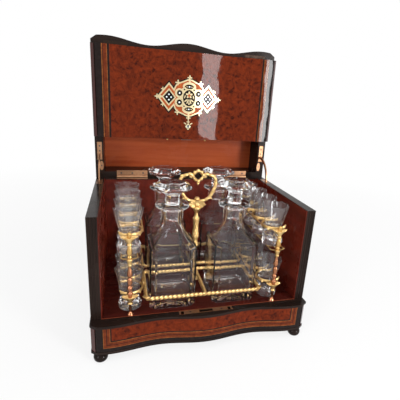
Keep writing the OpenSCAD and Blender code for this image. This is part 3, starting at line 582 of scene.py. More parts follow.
def lozenge(wide, high):
    # radius of a four-cornered figure with its corners on the axes
    return lambda t: 1 / (np.abs(np.cos(t)) / wide + np.abs(np.sin(t)) / high)


def ovalRadius(a, b):
    return lambda t: 1 / np.sqrt((np.cos(t) / a) ** 2 + (np.sin(t) / b) ** 2)


def onFlap(x, z, lift):
    # a point of the medallion's plane laid on the serpentine front, lifted from it
    return np.stack([x, flapFrontY(x) - lift, z], -1)


def inlay(centre, radius, low, high, steps, rows, turn=0.0):
    # thin closed plate: radius(angle) from the middle outwards below, and back inwards on top
    t = np.linspace(0, tau, steps, endpoint=False)[None, :]
    f = np.concatenate([[0], np.linspace(0.3, 1, rows - 1), np.linspace(1, 0.3, rows - 1), [0]])[:, None]
    lift = np.concatenate([np.full(rows, low), np.full(rows, high)])[:, None]
    r = radius(t) * f
    return onFlap(centre[0] + r * np.cos(t + turn), centre[1] + r * np.sin(t + turn), lift + 0 * t)


def inlayRing(centre, outer, inner, low, high, steps):
    # flat closed band between two outlines
    t = np.linspace(0, tau, steps, endpoint=False)[None, :]
    ro, ri = outer(t), inner(t)
    r = np.concatenate([ri, ro, ro, ri], 0)
    lift = np.array([low, low, high, high])[:, None]
    return onFlap(centre[0] + r * np.cos(t), centre[1] + r * np.sin(t), lift + 0 * t)


def pearlMaterial():
    # mother of pearl: pale ground with soft rainbow clouds
    shader = {"Coat Weight": 0.8, "Coat Roughness": 0.05}
    material, tree, principled, vector = newMaterial("motherOfPearl", shader)
    cloud = noise(tree, vector, Scale=420.0, Detail=2.0, Distortion=1.0)["Fac"]
    tints = [(0.30, (0.80, 0.72, 0.86)), (0.45, (0.92, 0.93, 0.90)), (0.58, (0.66, 0.86, 0.82)),
             (0.72, (0.94, 0.82, 0.84))]
    feed(principled, {"Base Color": ramp(tree, cloud, tints)})
    addHandling(tree, principled, vector, 0.12, 0.25, 0.05)
    return material


# brass sheet under old lacquer: only half metal, so that it reads pale from any side
inlayBrass = metalMaterial("inlayBrass", (0.80, 0.68, 0.42), (0.48, 0.37, 0.19), 0.25, 0.45, 6.0, bump=0.1,
                           metallic=0.55, coat=0.5)
inlayShell = woodMaterial("inlayRedShell", (0.46, 0.11, 0.028), (0.20, 0.035, 0.012), 0.12, 0.25, (90, 90, 90))
inlayEbony = woodMaterial("inlayEbony", (0.014, 0.009, 0.008), (0.007, 0.005, 0.004), 0.12, 0.25, (60, 60, 60))
pearl = pearlMaterial()
layers = dict(brass=0, shell=1, pearl=2, ebony=3)

# figures of the medallion, each repeated on every side where its place isn't 0
# ovals: place, half sizes, layer, height and points round
medallionOvals = (
    (35.8, 4.6, 1.25, 1.35, "pearl", 0.30, 16), (39.7, 0, 1.25, 1.35, "pearl", 0.30, 16),
    (31.9, 0, 1.25, 1.35, "pearl", 0.30, 16), (51.6, 0, 4.2, 2.4, "brass", 0.29, 24),
    (0, 19.6, 12.0, 7.6, "brass", 0.24, 48), (0, 19.4, 7.6, 3.9, "ebony", 0.27, 32),
    (0, 19.4, 1.5, 1.1, "pearl", 0.32, 16), (0, 29.2, 1.7, 4.4, "brass", 0.28, 24),
    (4.4, 19.2, 1.5, 0.7, "brass", 0.30, 16), (17.6, 8.0, 8.0, 8.0, "brass", 0.24, 48),
    (17.2, 8.0, 4.7, 5.0, "ebony", 0.27, 32), (17.2, 8.0, 1.4, 1.5, "pearl", 0.32, 16),
    (8.8, 14.2, 1.7, 1.2, "ebony", 0.28, 16))
# fleurons: place, size and width of the dark edge
medallionFleurons = ((46.4, 13.2, 3.6, 1.1), (20.4, 25.4, 5.0, 1.1), (56.4, 0, 4.6, 1.2), (0, 34.6, 4.4, 1.1))
# slanting leaves of the palmette: place, half sizes and turn
palmetteLeaves = ((2.4, -6.0, 1.25, 4.4, 0.40), (5.6, -4.2, 1.15, 3.8, 0.95), (7.8, 2.0, 0.95, 3.0, 0.30))


def mirrored(x, z):
    return [(sx * x, sz * z) for sx in ((-1, 1) if x else (1,)) for sz in ((-1, 1) if z else (1,))]


def makeMedallion():
    # each layer lies a little higher than the last, so that the outline is that of all its figures together
    mid, m = medallion["centre"], medallion
    sheets = []

    def band(at, outer, inner, high, steps=64):
        grid = inlayRing((mid[0] + at[0], mid[1] + at[1]), outer, inner, 0.05, high, steps)
        sheets.append((grid, True, True, layers["brass"]))

    def plate(at, radius, layer, high, steps, turn=0.0, rows=3):
        grid = inlay((mid[0] + at[0], mid[1] + at[1]), radius, 0.02, high, steps, rows, turn)
        sheets.append((grid, False, True, layers[layer]))

    wide, high = m["lozenge"]
    for layer, grow, lift in (("ebony", m["edge"], 0.08), ("brass", 0.0, 0.13), ("shell", -m["outline"], 0.18)):
        plate((0, 0), lambda t: m["round"] + grow + 0.8 * np.cos(8 * t), layer, lift, 160, rows=6)
        for at in mirrored(m["lozengeAt"], 0):
            plate(at, lozenge(wide + 1.35 * grow, high + 1.65 * grow), layer, lift, 96, rows=5)
    for at in mirrored(m["lozengeAt"], 0):
        band(at, lozenge(12.8, 15.0), lozenge(10.0, 11.7), 0.28)
        plate(at, lozenge(10.3, 12.0), "ebony", 0.22, 64)
    for x, z, size, edge in medallionFleurons:
        for at in mirrored(x, z):
            for layer, more, lift, steps in (("ebony", edge, 0.08, 32), ("brass", 0.0, 0.30, 48)):
                plate(at, lambda t: size * (0.66 + 0.34 * np.cos(4 * t)) + more, layer, lift, steps)
    plate((0, 0), ovalRadius(20.4, 20.4), "brass", 0.22, 96, rows=5)
    for x, z, a, b, layer, lift, steps in medallionOvals:
        for at in mirrored(x, z):
            plate(at, ovalRadius(a, b), layer, lift, steps)
    # the palmette in the middle, in an oval frame
    band((0, 0), ovalRadius(12.8, 15.8), ovalRadius(11.0, 14.0), 0.34)
    plate((0, 0), ovalRadius(11.1, 14.1), "ebony", 0.28, 64)
    petals = lambda t: 6.4 * (0.30 + 0.70 * np.abs(np.cos(2.5 * t)) ** 1.1)
    plate((0, 5.4), petals, "brass", 0.33, 96, np.pi / 2)
    plate((0, 4.6), lozenge(3.0, 3.3), "shell", 0.36, 32)
    for s in (-1, 1):
        for x, z, a, b, turn in palmetteLeaves:
            plate((s * x, z), ovalRadius(a, b), "brass", 0.33, 28, s * turn)
    plate((0, -9.4), ovalRadius(1.3, 2.2), "brass", 0.34, 24)
    makePiece("medallionInlay", sheets, "flap", [inlayBrass, inlayShell, pearl, inlayEbony],
              ["medallion"], 30)


makeMedallion()


def makeKeyhole():
    # small brass escutcheon with a leafy outline, a dark edge, a pearl field and the keyhole
    shield = lambda t: 4.3 * (1 + 0.22 * np.cos(4 * t)) * np.where(np.sin(t) < -0.3, 1.16, 1.0)
    brass, field, dark = 0, 1, 2
    figures = (     # height of the middle, outline, under and upper side, points round, rings, material
        (312.4, lambda t: shield(t) + 1.0, -0.25, 0.20, 48, 5, dark),
        (312.4, shield, -0.2, 0.30, 48, 5, brass),
        (312.4, ovalRadius(2.6, 2.9), 0.1, 0.36, 32, 3, field),
        (313.2, ovalRadius(1.9, 1.9), 0.1, 0.46, 20, 3, dark),
        (310.8, ovalRadius(1.0, 2.6), 0.1, 0.46, 20, 3, dark),
        (320.6, lambda t: 3.2 * (0.6 + 0.4 * np.cos(4 * t)), -0.2, 0.30, 48, 5, brass),
        (325.0, ovalRadius(0.9, 3.4), -0.2, 0.28, 20, 5, brass))
    sheets = [(inlay((0, z), outline, low, high, steps, rows), False, True, number)
              for z, outline, low, high, steps, rows, number in figures]
    sheets += [(inlay((s * 5.4, 317.4), ovalRadius(3.2, 0.9), -0.2, 0.28, 20, 5, s * 0.5), False, True, brass)
               for s in (-1, 1)]
    makePiece("keyholeShield", sheets, "flap", [inlayBrass, pearl, inlayEbony],
              ["keyhole_escutcheon"], 30)


makeKeyhole()
print("stage: inlay made")


# rack
rack = dict(base=60.0, glassX=110.5, mid=94.0, postY=4.5, pitch=43.2, tier=91.0, ringZ=29.0, ringIn=16.8,
            ringOut=19.4, railZ=23.0, railR=3.1, railWide=88.0, railHalf=39.5, railCorner=6.0, twist=6.5)
decanterAt = dict(x=48.0, y=49.5, half=34.5, bevel=7.0, dimple=1.2)


def roundedRectangle(cx, cy, z, hx, hy, corner, step=0.55):
    # closed loop of four straight sides and four quarter turns, at even steps
    m = int(corner * np.pi / 2 / step)
    q = np.linspace(0, np.pi / 2, m, endpoint=False)
    pts = []
    for k, (side, far) in enumerate(((hy, hx), (hx, hy)) * 2):
        run, a = side - corner, k * np.pi / 2
        u = np.linspace(-run, run, int(2 * run / step), endpoint=False)
        local = np.vstack([np.stack([np.full(len(u), far), u], -1),
                           np.stack([far - corner + corner * np.cos(q), run + corner * np.sin(q)], -1)])
        pts.append(local @ np.array([[np.cos(a), np.sin(a)], [-np.sin(a), np.cos(a)]]))
    flat = np.vstack(pts)
    return np.column_stack([cx + flat[:, 0], cy + flat[:, 1], np.full(len(flat), z)])


def ropeRadius(length):
    # laid strands: the radius swells round the section, and the swelling turns along the rope
    bumps = max(3, round(length / rack["twist"]))
    return lambda t, d: rack["railR"] * (0.60 + 0.40 * np.cos(1.5 * t - np.pi * bumps * d / length) ** 2)


def bar(start, end, count, radius, around=12, flat=1.0):
    return capped(tube(np.linspace(start, end, count), radius, around, flat=flat))


# length, width, half thickness, curl, lobes and rows of each kind of leaf
leafKinds = dict(ringEnd=(5.2, 4.4, 1.4, 1.0, 3, 16), link=(9.2, 5.4, 1.0, 0.3, 3, 14),
                 hanging=(5.0, 4.6, 0.9, 0.5, 3, 12), wing=(12.5, 5.0, 1.0, 0.5, 4, 22))
upwards = (0, 0, 1)


def leafClasp(centre, out, size=1.0):
    # boss with four small leaves, two along the rails, one outwards and one on top
    c, out = np.asarray(centre, float), np.asarray(out, float)
    side = np.array([-out[1], out[0], 0])
    found = [ball(c + [0, 0, 0.3], 3.1 * size, 10, 0.85)]
    ways = ((side + 0.35 * out, 9), (-side + 0.35 * out, 9), (out + [0, 0, 0.3], 5.5), (-out + [0, 0, 1.0], 5))
    for along, length in ways:
        found.append(leaf(c - along * 0.6, along, upwards, length * size, 5.2 * size, 1.3 * size, 0.5, 3, 16))
    return found


def makeRails():
    # two railed rectangles side by side, each parted in the middle; the pole's sleeve joins them
    r = rack
    sheets = []
    z = r["base"] + r["railZ"]
    hx, hy, corner = r["railWide"], r["railHalf"], r["railCorner"]
    for sy in (-1, 1):
        cy = r["mid"] + sy * decanterAt["y"]
        loop = roundedRectangle(0, cy, z, hx, hy, corner)
        length = np.linalg.norm(np.roll(loop, -1, 0) - loop, axis=1).sum()
        sheets.append(ring(loop, ropeRadius(length), 18))
        sheets.append(bar((0, cy - hy, z), (0, cy + hy, z), 150, ropeRadius(2 * hy), 18))
        for ay in (-1, 1):
            for ax in (-1, 1):
                at = (ax * (hx - 1.9), cy + ay * (hy - 1.9), z)
                sheets += leafClasp(at, np.array([ax, ay, 0]) / np.sqrt(2))
            sheets += leafClasp((0, cy + ay * hy, z), (0, ay, 0), 0.85)
    sheets.append(bar((0, r["mid"] - 10, z), (0, r["mid"] + 10, z), 20, 1.7))
    makePiece("ropeRails", sheets, "rack", [giltBrass], ["rack_rails"])


postProfile = [
    (0, 0), (4.0, 0), (4.05, 1.2), (3.4, 3.0), (2.0, 5.6), (1.7, 10), (1.9, 15), (2.3, 19), (2.6, 22),
    (2.7, 32.6), (3.4, 33.4), (3.7, 35.2), (3.3, 37.2), (1.9, 38.8), (2.3, 40), (3.2, 41.6), (3.5, 43.8),
    (3.3, 46.0), (2.2, 47.6), (1.7, 48.4), (2.3, 49.2), (3.1, 50.8), (3.3, 54), (3.2, 57.6), (2.6, 59.6),
    (1.8, 60.8), (2.5, 62), (3.3, 64.4), (3.4, 66.8), (2.9, 70), (2.1, 74), (1.7, 77.4), (2.4, 79.4),
    (2.6, 80.6), (2.7, 90.6), (3.2, 91.8), (3.3, 93.2), (2.4, 94.6), (3.2, 96.6), (3.5, 99.4), (3.2, 103.6),
    (2.5, 108), (2.0, 111.6), (2.0, 112.8), (2.7, 114.2), (2.7, 125.4), (2.2, 127.8), (0, 129)]

postStout = 1.12     # the posts' radii are this much larger than the profile's


def makePosts():
    r = rack
    profile = curveThrough(postProfile, 4)
    profile[:, 0] = np.maximum(profile[:, 0], 0) * postStout
    sheets = [revolve(profile, (s * r["glassX"], y, r["base"]), 32)
              for s in (-1, 1) for y in (r["postY"], 2 * r["mid"] - r["postY"])]
    makePiece("balusterPosts", sheets, "rack", [turnedBrass], ["rack_posts"])


cupProfile = [(2.7, -1.8), (3.9, -0.9), (4.0, 0.4), (3.0, 1.4), (3.1, 2.8), (3.9, 5.0), (5.0, 7.4), (6.3, 9.4),
              (6.8, 10.4), (6.2, 10.9), (4.4, 10.2), (2.9, 9.8)]
collarProfile = [(2.6, -1), (3.2, 0.4), (2.8, 2.0), (3.1, 4.4), (3.9, 7.0), (4.3, 8.6), (3.9, 9.6), (2.7, 9.9)]
holder = dict(reach=2.28, tail=0.28, tailOut=1.6, tailUp=1.8, lift=1.6, flat=1.75, hangOut=0.5, hangUp=2.6,
              linkIn=6.0, linkApart=4.6, linkUp=1.2, sideIn=0.2, sideUp=1.7, shelfDown=1.1, shelfBar=11.0,
              shelfRing=12.2, shelfEnd=2.0, spur=13.5, wingUp=88.6, cupDown=9.4, collarDown=11.4,
              hookTop=91.3, hookFoot=88.3, hookUp=0.8)


def openRing(s, cx, cy, z, radius):
    # arc about the glass, open towards the outer wall; its two ends curl up and outwards a little
    h = holder
    q = np.linspace(-h["reach"], h["reach"], 90)
    tail = np.clip((np.abs(q) - h["reach"]) / h["tail"] + 1, 0, 1)
    r = radius + h["tailOut"] * tail ** 2
    return np.column_stack([cx - s * r * np.cos(q), cy + r * np.sin(q), z + h["tailUp"] * tail ** 1.5])


def leafCup(x, y, z):
    # console under a ring: a fluted cup, wide along x, that narrows to the post; its lip is scalloped
    rows = curveThrough(cupProfile, 3)
    t = np.linspace(0, tau, 64, endpoint=False)[None, :]
    r, h = rows[:, :1], rows[:, 1:2]
    up = np.clip((h - 3) / 7, 0, 1)
    flute = 1 + 0.13 * up * np.abs(np.cos(5 * t)) - 0.05 * up
    lip = 1.5 * up ** 2 * (np.abs(np.cos(5 * t)) - 1 + np.cos(t) ** 2)
    return np.stack([x + r * flute * (1 + 0.62 * up) * np.cos(t), y + r * flute * (1 - 0.30 * up) * np.sin(t),
                     z + h + lip], -1)


def makeHolders():
    # on each side: two tiers of open rings joined by leaves, with a shelf under the upper glasses
    r, h = rack, holder
    sheets = []
    radius = (r["ringIn"] + r["ringOut"]) / 2
    ends = (r["postY"], 2 * r["mid"] - r["postY"])
    glassY = [r["mid"] + (i - 1.5) * r["pitch"] for i in range(4)]

    def scalloped(t, d):
        # band higher than it is thick, its outer and lower side swelling into scallops
        return 1.28 + 0.30 * np.abs(np.sin(np.pi * d / 6.2)) * np.abs(np.sin(t)) ** 0.6

    def rippled(t, d):
        return 1.0 + 0.16 * np.sin(tau * d / 6.0 + 2 * t)

    def grooved(t, z):
        return 1 + 0.07 * np.abs(np.cos(4 * t))

    for s in (-1, 1):
        gx = s * r["glassX"]
        for z in (r["base"] + r["ringZ"], r["base"] + r["tier"] + r["ringZ"]):
            for gy in glassY:
                path = openRing(s, gx, gy, z + h["lift"], radius)
                sheets.append(capped(tube(path, scalloped, 18, flat=h["flat"])))
                for tip, before in ((path[0], path[3]), (path[-1], path[-4])):     # curled leaf on each end
                    along = tip - before
                    sheets.append(leaf(tip - along * 0.5, along + [0, 0, 0.6], upwards, *leafKinds["ringEnd"]))
                for q in np.linspace(-1.5, 1.5, 5):     # small leaves that hang along the ring
                    out = np.array([-s * np.cos(q), np.sin(q), 0])
                    at = np.array([gx, gy, z + h["hangUp"]]) + (radius + h["hangOut"]) * out
                    sheets.append(leaf(at, out * 0.18 + [0, 0, -1], out, *leafKinds["hanging"]))
            for gy in glassY[:3]:     # a link of two leaves between neighbouring rings
                for e in (-1, 1):
                    root = (gx - s * h["linkIn"], gy + r["pitch"] / 2 - e * h["linkApart"], z + h["linkUp"])
                    sheets.append(leaf(root, (0, e, 0), upwards, *leafKinds["link"]))
            x, top = gx - s * (r["ringOut"] - h["sideIn"]), z + h["sideUp"]     # side bar behind the rings
            sheets.append(bar((x, glassY[0], top), (x, glassY[3], top), 60, rippled))
        for e in (-1, 1):     # short hooks that carry the holders on the rails
            y = r["mid"] + e * decanterAt["y"]
            a = np.array([s * h["hookTop"], y, r["base"] + r["ringZ"] + h["lift"]])
            b = np.array([s * h["hookFoot"], y, r["base"] + r["railZ"]])
            middle = (a + b) / 2 + [0, 0, h["hookUp"]]
            sheets.append(capped(tube(curveThrough([a, middle, b], 6), 1.5, 12)))
        # open shelf under the upper glasses: two long bars, a ring beneath each foot and a spur to each post
        shelf = r["base"] + r["tier"] - h["shelfDown"]
        for x in (gx - h["shelfBar"], gx + h["shelfBar"]):
            start, end = (x, ends[0] + h["shelfEnd"], shelf), (x, ends[1] - h["shelfEnd"], shelf)
            sheets.append(bar(start, end, 50, 1.05, flat=0.85))
        q = np.linspace(0, tau, 64, endpoint=False)
        circle = h["shelfRing"] * np.column_stack([np.cos(q), np.sin(q), 0 * q])
        for gy in glassY:
            sheets.append(ring(circle + [gx, gy, shelf], 1.0, 10, flat=0.85))
        for py, inwards in zip(ends, (1, -1)):
            sheets.append(bar((gx, py, shelf), (gx, py + inwards * h["spur"], shelf), 12, 1.4, flat=0.7))
            for e in (-1, 1):     # leaf wings half way up
                root = (gx, py, r["base"] + h["wingUp"])
                sheets.append(leaf(root, (e, 0, -0.05), upwards, *leafKinds["wing"]))
            for tier in (0, r["tier"]):
                sheets.append(capped(leafCup(gx, py, r["base"] + tier + r["ringZ"] - h["cupDown"])))
            foot = (gx, py, r["base"] + r["tier"] - h["collarDown"])
            sheets.append(capped(revolve(curveThrough(collarProfile, 3), foot, 28, grooved)))
    makePiece("glassHolders", sheets, "rack", [giltBrass], ["glass_holders"])


poleProfile = [
    (0, 0), (9, 0), (9, 1.6), (5.6, 3.6), (3.4, 7), (3.0, 12), (3.0, 58), (3.6, 60.4), (4.4, 62), (4.3, 66),
    (3.7, 72), (4.2, 76), (5.4, 78.6), (5.5, 84), (4.9, 92), (4.5, 100), (5.2, 108), (5.5, 111.6), (4.2, 114.6),
    (3.1, 117.6), (3.2, 123), (5.2, 126), (6.4, 128.4), (6.3, 131), (4.6, 132.6), (3.2, 133), (0, 133)]
poleScales = dict(rowHigh=5.6, start=60.0, end=116.0, relief=0.30)


def leafScales(t, z):
    # rows of scales on the sleeve: each row turned half a scale from the last, fading towards its top
    k = poleScales
    row = z / k["rowHigh"]
    turned = np.where(np.floor(row) % 2 > 0.5, np.pi / 2, 0)
    scale = np.abs(np.cos(3 * t + turned)) * (0.35 + 0.65 * (1 - np.mod(row, 1)))
    onSleeve = np.clip((z - k["start"]) / 4, 0, 1) * np.clip((k["end"] - z) / 3, 0, 1)
    return 1 + onSleeve * k["relief"] * (scale - 0.55)


def makePole():
    profile = curveThrough(poleProfile, 8)
    profile[:, 0] = np.maximum(profile[:, 0], 0)
    makePiece("leafPole", [revolve(profile, (0, rack["mid"], rack["base"]), 60, leafScales)],
              "rack", [giltBrass], ["rack_pole"], 60)


# the handle, in mm from its middle plane and its base: the right arm's middle line, the crest's corners,
# and leaves as place, direction and length
handle = dict(
    base=rack["base"] + 124,
    arm=[(3.0, 17.5), (10, 18.6), (17.5, 22), (23, 28.5), (27, 37), (29.8, 46), (29.6, 53), (26, 58.6),
         (19.5, 62.2), (13, 63.4), (8.6, 60.5)],
    armLeaves=((28.6, 50, 0.5, 1, 9), (24, 60.5, 1, 0.25, 8.5), (16, 63, -1, 0.5, 8),
               (24.6, 31.5, 0.9, 0.5, 7.5), (20, 24, 1, -0.35, 8), (29, 43, 0.8, -0.8, 6.5)),
    fan=((-0.1, 10.5), (0.25, 15), (0.62, 14), (1.0, 12.5), (1.36, 12)),     # angle and length
    crest=[(0, 51.2), (5.0, 54.8), (9.2, 60.2), (5.6, 65.6), (0, 69.2), (-5.6, 65.6), (-9.2, 60.2),
           (-5.0, 54.8)],
    crestLeaves=((0, 65.5, 0, 1, 4.6), (0, 51, 0, -1, 6), (4.8, 66, 0.6, 0.6, 4.2), (9, 58.6, 1, 0.1, 6)),
    foot=[(3.0, 0), (3.4, 2), (4.6, 4.4), (4.2, 7), (2.8, 9), (3.2, 12), (4.4, 15), (3.0, 18.4)], footUp=6.5)


def makeHandle():
    # cast handle: scrolled arms, a pierced lozenge crest and a fan of leaves, all round a flat middle plane
    h, y = handle, rack["mid"]
    base = h["base"]
    sheets = []

    def upright(points, s=1):
        return np.array([(s * x, y, base + z) for x, z in points])

    def leafy(t, d):
        return 2.0 + 0.75 * np.abs(np.sin(np.pi * d / 9.5)) ** 0.7 + 0.22 * np.cos(4 * t + d * 0.9)

    def beaded(t, d):
        return 2.35 + 0.4 * np.cos(tau * d / 6.6) + 0.15 * np.cos(4 * t)

    for s in (-1, 1):
        sheets.append(capped(tube(curveThrough(upright(h["arm"], s), 9), leafy, 20, ref=(0, 1, 0))))
        for x, z, ax, az, length in h["armLeaves"]:
            root = (s * (x - ax * 2), y, base + z - az * 2)
            sheets.append(leaf(root, (s * ax, 0, az), (0, -1, 0), length, 4.6, 1.3, 0.35, 4, 18))
        for a, length in h["fan"]:
            for front in (-1, 1):
                root, along = (s * 1.0, y + front * 0.8, base + 9.5), (s * np.cos(a), 0, np.sin(a))
                sheets.append(leaf(root, along, (0, front, 0), length, 6.6, 1.1, 0.45, 4, 20))
    # the crest's corners are joined by straight lines and then eased once
    loop = upright(h["crest"] + h["crest"][:1])
    t = np.linspace(0, len(h["crest"]), 96, endpoint=False)
    fine = np.column_stack([np.interp(t, np.arange(len(loop)), loop[:, k]) for k in range(3)])
    fine = (np.roll(fine, 1, 0) + fine + np.roll(fine, -1, 0)) / 3
    sheets.append(ring(fine, beaded, 18, ref=(0, 1, 0)))
    for x, z, ax, az, length in h["crestLeaves"]:
        for s in ((-1, 1) if x else (1,)):
            sheets.append(leaf((s * x, y, base + z), (s * ax, 0, az), (0, -1, 0), length, 4.6, 1.4, 0.2, 3, 16))
    sheets.append(capped(revolve(curveThrough(h["foot"], 5), (0, y, base + h["footUp"]), 28,
                                 lambda t, z: 1 + 0.08 * np.cos(6 * t))))
    makePiece("scrollHandle", sheets, "rack", [giltBrass], ["rack_handle"], 60)


makeRails()
makePosts()
makeHolders()
makePole()
makeHandle()
print("stage: rack made")


# glass
tumbler = dict(
    sides=10, steps=100, flute=0.075, footFlute=0.55, waist=20.0, rim=1.5, rimFrom=50.0, rimOver=14.5,
    floor=30.0, dimple=0.8,
    outer=[
        (15.0, 0), (16.2, 0.5), (16.4, 1.8), (16.4, 8.6), (15.9, 10.6), (14.6, 14), (12.4, 18.2), (11.4, 22.4),
        (12.0, 27.6), (13.8, 33), (15.6, 39), (17.2, 45), (18.6, 51.5), (20.0, 58.2), (21.2, 64.5)],
    inner=[
        (20.0, 64.4), (18.8, 58.2), (17.4, 51.5), (16.0, 45), (14.4, 39), (12.7, 34.4), (9.6, 31.4),
        (5.5, 30.3), (0, 30)])


def tumblerSheet(cx, cy, z):
    # ten hollow flutes that meet in sharp ridges, inside and outside; the rim rises to a point over each ridge
    g = tumbler
    t = np.linspace(0, tau, g["steps"], endpoint=False)[None, :]
    hollow = np.abs(np.sin(g["sides"] / 2 * t)) ** 0.9
    outer, inner = curveThrough(g["outer"], 3), curveThrough(g["inner"], 3)
    inner[:, 1] = np.maximum(inner[:, 1], g["floor"])

    def wall(profile, depth):
        r, h = profile[:, :1], profile[:, 1:]
        k = 1 - depth(h) * hollow
        dip = g["rim"] * hollow * np.clip((h - g["rimFrom"]) / g["rimOver"], 0, 1) ** 2
        return np.stack([r * k * np.cos(t), r * k * np.sin(t), h - dip], -1)

    def outerDepth(h):
        upper = np.clip((h - g["waist"]) / 20, 0, 1)
        return g["flute"] * (g["footFlute"] + (1 - g["footFlute"]) * upper) * np.clip(h / 2, 0.2, 1)

    def innerDepth(h):
        return g["flute"] * np.clip((h - g["floor"] - 1) / 4, 0, 1)

    under = np.zeros((1, g["steps"], 3)) + [0, 0, g["dimple"]]
    grid = np.concatenate([under, wall(outer, outerDepth), wall(inner, innerDepth)], 0)
    grid[..., 2] = np.maximum(grid[..., 2], 0)
    return grid + [cx, cy, z]


for tier, word in ((1, "upper"), (0, "lower")):
    for s, letter in ((-1, "l"), (1, "r")):
        for i in range(4):
            label = f"glass_{word}_{letter}{i + 1}"
            sheet = tumblerSheet(s * rack["glassX"], rack["mid"] + (i - 1.5) * rack["pitch"],
                                 rack["base"] + tier * rack["tier"])
            makePiece(label.replace("glass_", "tumbler_"), [sheet], label, [tumblerGlass],
                      [label], 26)


# height, half width, bevel, round radius, share of the round
decanterRows = [
    (0.9, 30, 7, 20, 1), (0.3, 32.2, 7, 0, 0), (0, 32.6, 7, 0, 0), (1.4, 34.2, 7, 0, 0), (3, 34.5, 7, 0, 0),
    (50, 34.5, 7, 0, 0), (91.5, 34.5, 7, 0, 0), (93.6, 34.1, 7, 27, 0.02), (95.6, 33.0, 7, 27.4, 0.10),
    (99, 30.6, 7, 27, 0.28), (104, 27.4, 7, 25, 0.52), (110, 24, 6, 22, 0.76), (116, 21.5, 5, 19.2, 0.92),
    (121, 20, 4, 17.6, 0.99), (126, 19, 4, 16.9, 1), (134, 18, 4, 16.5, 1), (143, 18, 4, 16.6, 1),
    (147, 18, 4, 17.4, 1), (149, 20, 4, 20.4, 1), (150.4, 20, 4, 23.6, 1), (152.4, 20, 4, 25, 1),
    (154.4, 20, 4, 24.8, 1), (155.8, 20, 4, 23.4, 1), (156, 20, 4, 21.8, 1), (155.6, 20, 4, 14, 1),
    (154.6, 20, 4, 11.2, 1), (152, 20, 4, 10.4, 1), (128, 20, 4, 10.6, 1), (121, 20, 4, 12.6, 1),
    (115, 20, 4, 15.4, 0.94), (108.5, 21, 3, 18.6, 0.78), (102, 24.6, 4, 21.6, 0.5), (97, 27.4, 5, 24, 0.26),
    (92.5, 29.2, 5.6, 25, 0.08), (88, 30, 6, 25, 0), (50, 30, 6, 24, 0), (16, 30, 6, 24, 0),
    (12, 29.2, 6, 24, 0.05), (10, 26, 6, 22, 0.3), (9, 18, 5, 16, 0.8), (8.8, 0.01, 0, 0.01, 1)]


def decanterSheet(cx, cy, z):
    # up the wall and down inside it: a square with cut corners, turned into a circle by the last column
    d = decanterAt
    b = np.arctan((d["half"] - d["bevel"]) / d["half"])
    turns = ((0, b, 12), (b, np.pi / 2 - b, 4), (np.pi / 2 - b, np.pi / 2, 12))
    one = np.concatenate([np.linspace(start, end, count, endpoint=False) for start, end, count in turns])
    t = np.concatenate([one + k * np.pi / 2 for k in range(4)])[None, :]
    rows = curveThrough(decanterRows, 3)
    h, a, c, r, k = (rows[:, n:n + 1] for n in range(5))
    k = np.clip(k, 0, 1)
    a, c = np.maximum(a, 0.005), np.clip(c, 0, None)
    u, v = np.abs(np.cos(t)), np.abs(np.sin(t))
    square = np.minimum(np.minimum(a / np.maximum(u, 1e-3), a / np.maximum(v, 1e-3)), (2 * a - c) / (u + v))
    q = np.maximum(square * (1 - k) + r * k, 0)
    grid = np.stack([cx + q * np.cos(t), cy + q * np.sin(t), z + np.maximum(h, 0) + 0 * t], -1)
    under = np.repeat(np.array([[[cx, cy, z + d["dimple"]]]]), t.shape[1], 1)
    return np.concatenate([under, grid], 0)


def stopperSheets(cx, cy, z, proud):
    # ground plug below, eight-sided cut head above with a girdle and a flat table; proud: how far it stands out
    plug = [(0, 129), (8.2, 129), (8.7, 129.6), (9.0, 140), (9.6, 154), (9.6, 156.6 + proud)]
    head = [
        (0, 156.2), (11.1, 156.2), (11.5, 156.8), (11.4, 160), (10.5, 163.6), (10.5, 166), (11.2, 169),
        (16.6, 173.8), (27.0, 178.2), (28.7, 180.2), (28.9, 181.2), (28.6, 182.2), (26.8, 184.0), (20.2, 187.3),
        (19.4, 187.6), (0, 187.9)]
    return [capped(revolve(plug, (cx, cy, z), 40)),
            revolve(head, (cx, cy, z + proud), 64, polygonRadius(8), np.pi / 8)]


for word, sx, sy, proud in (("fl", -1, -1, 0), ("fr", 1, -1, 3.2), ("bl", -1, 1, 0), ("br", 1, 1, 0)):
    at = (sx * decanterAt["x"], rack["mid"] + sy * decanterAt["y"], rack["base"])
    makePiece(f"squareDecanter_{word}", [decanterSheet(*at)], f"decanter_{word}", [clearGlass],
              [f"decanter_{word}"], 24)
    makePiece(f"cutStopper_{word}", stopperSheets(*at, proud), f"stopper_{word}", [clearGlass],
              [f"stopper_{word}"], 16)
print("stage: glass made")


# feet
footRows = [
    (0, 0), (6.0, 0), (7.8, 0.8), (9.4, 3.0), (10.0, 5.8), (9.7, 8.4), (8.4, 10.6), (7.2, 11.7), (6.9, 12.2),
    (8.3, 12.7), (8.5, 13.4), (8.5, 14.0), (0, 14.0)]
feet = [revolve(curveThrough(footRows, 3).clip(0, None), (x, y, 0), 36)
        for x in (-152, 152) for y in (-8, 211)]
makePiece("bunFeet", feet, "case", [ebonisedAcross], ["bun_feet"])
print("stage: feet made")


# floor and light
studio = dict(lit=0.50, seen=1.0, floorHalf=6.0, floorNear=0.80, floorFade=(0.35, 1.3),
              rightWindow=dict(place=(0.93, -1.27, 0.42), size=(0.30, 0.66), power=21.0),
              leftWindow=dict(place=(-1.25, -1.15, 0.95), size=(0.60, 1.2), power=14.0),
              aboveWindow=dict(place=(0.2, -0.5, 1.9), size=(1.0, 0.8), power=7.0))


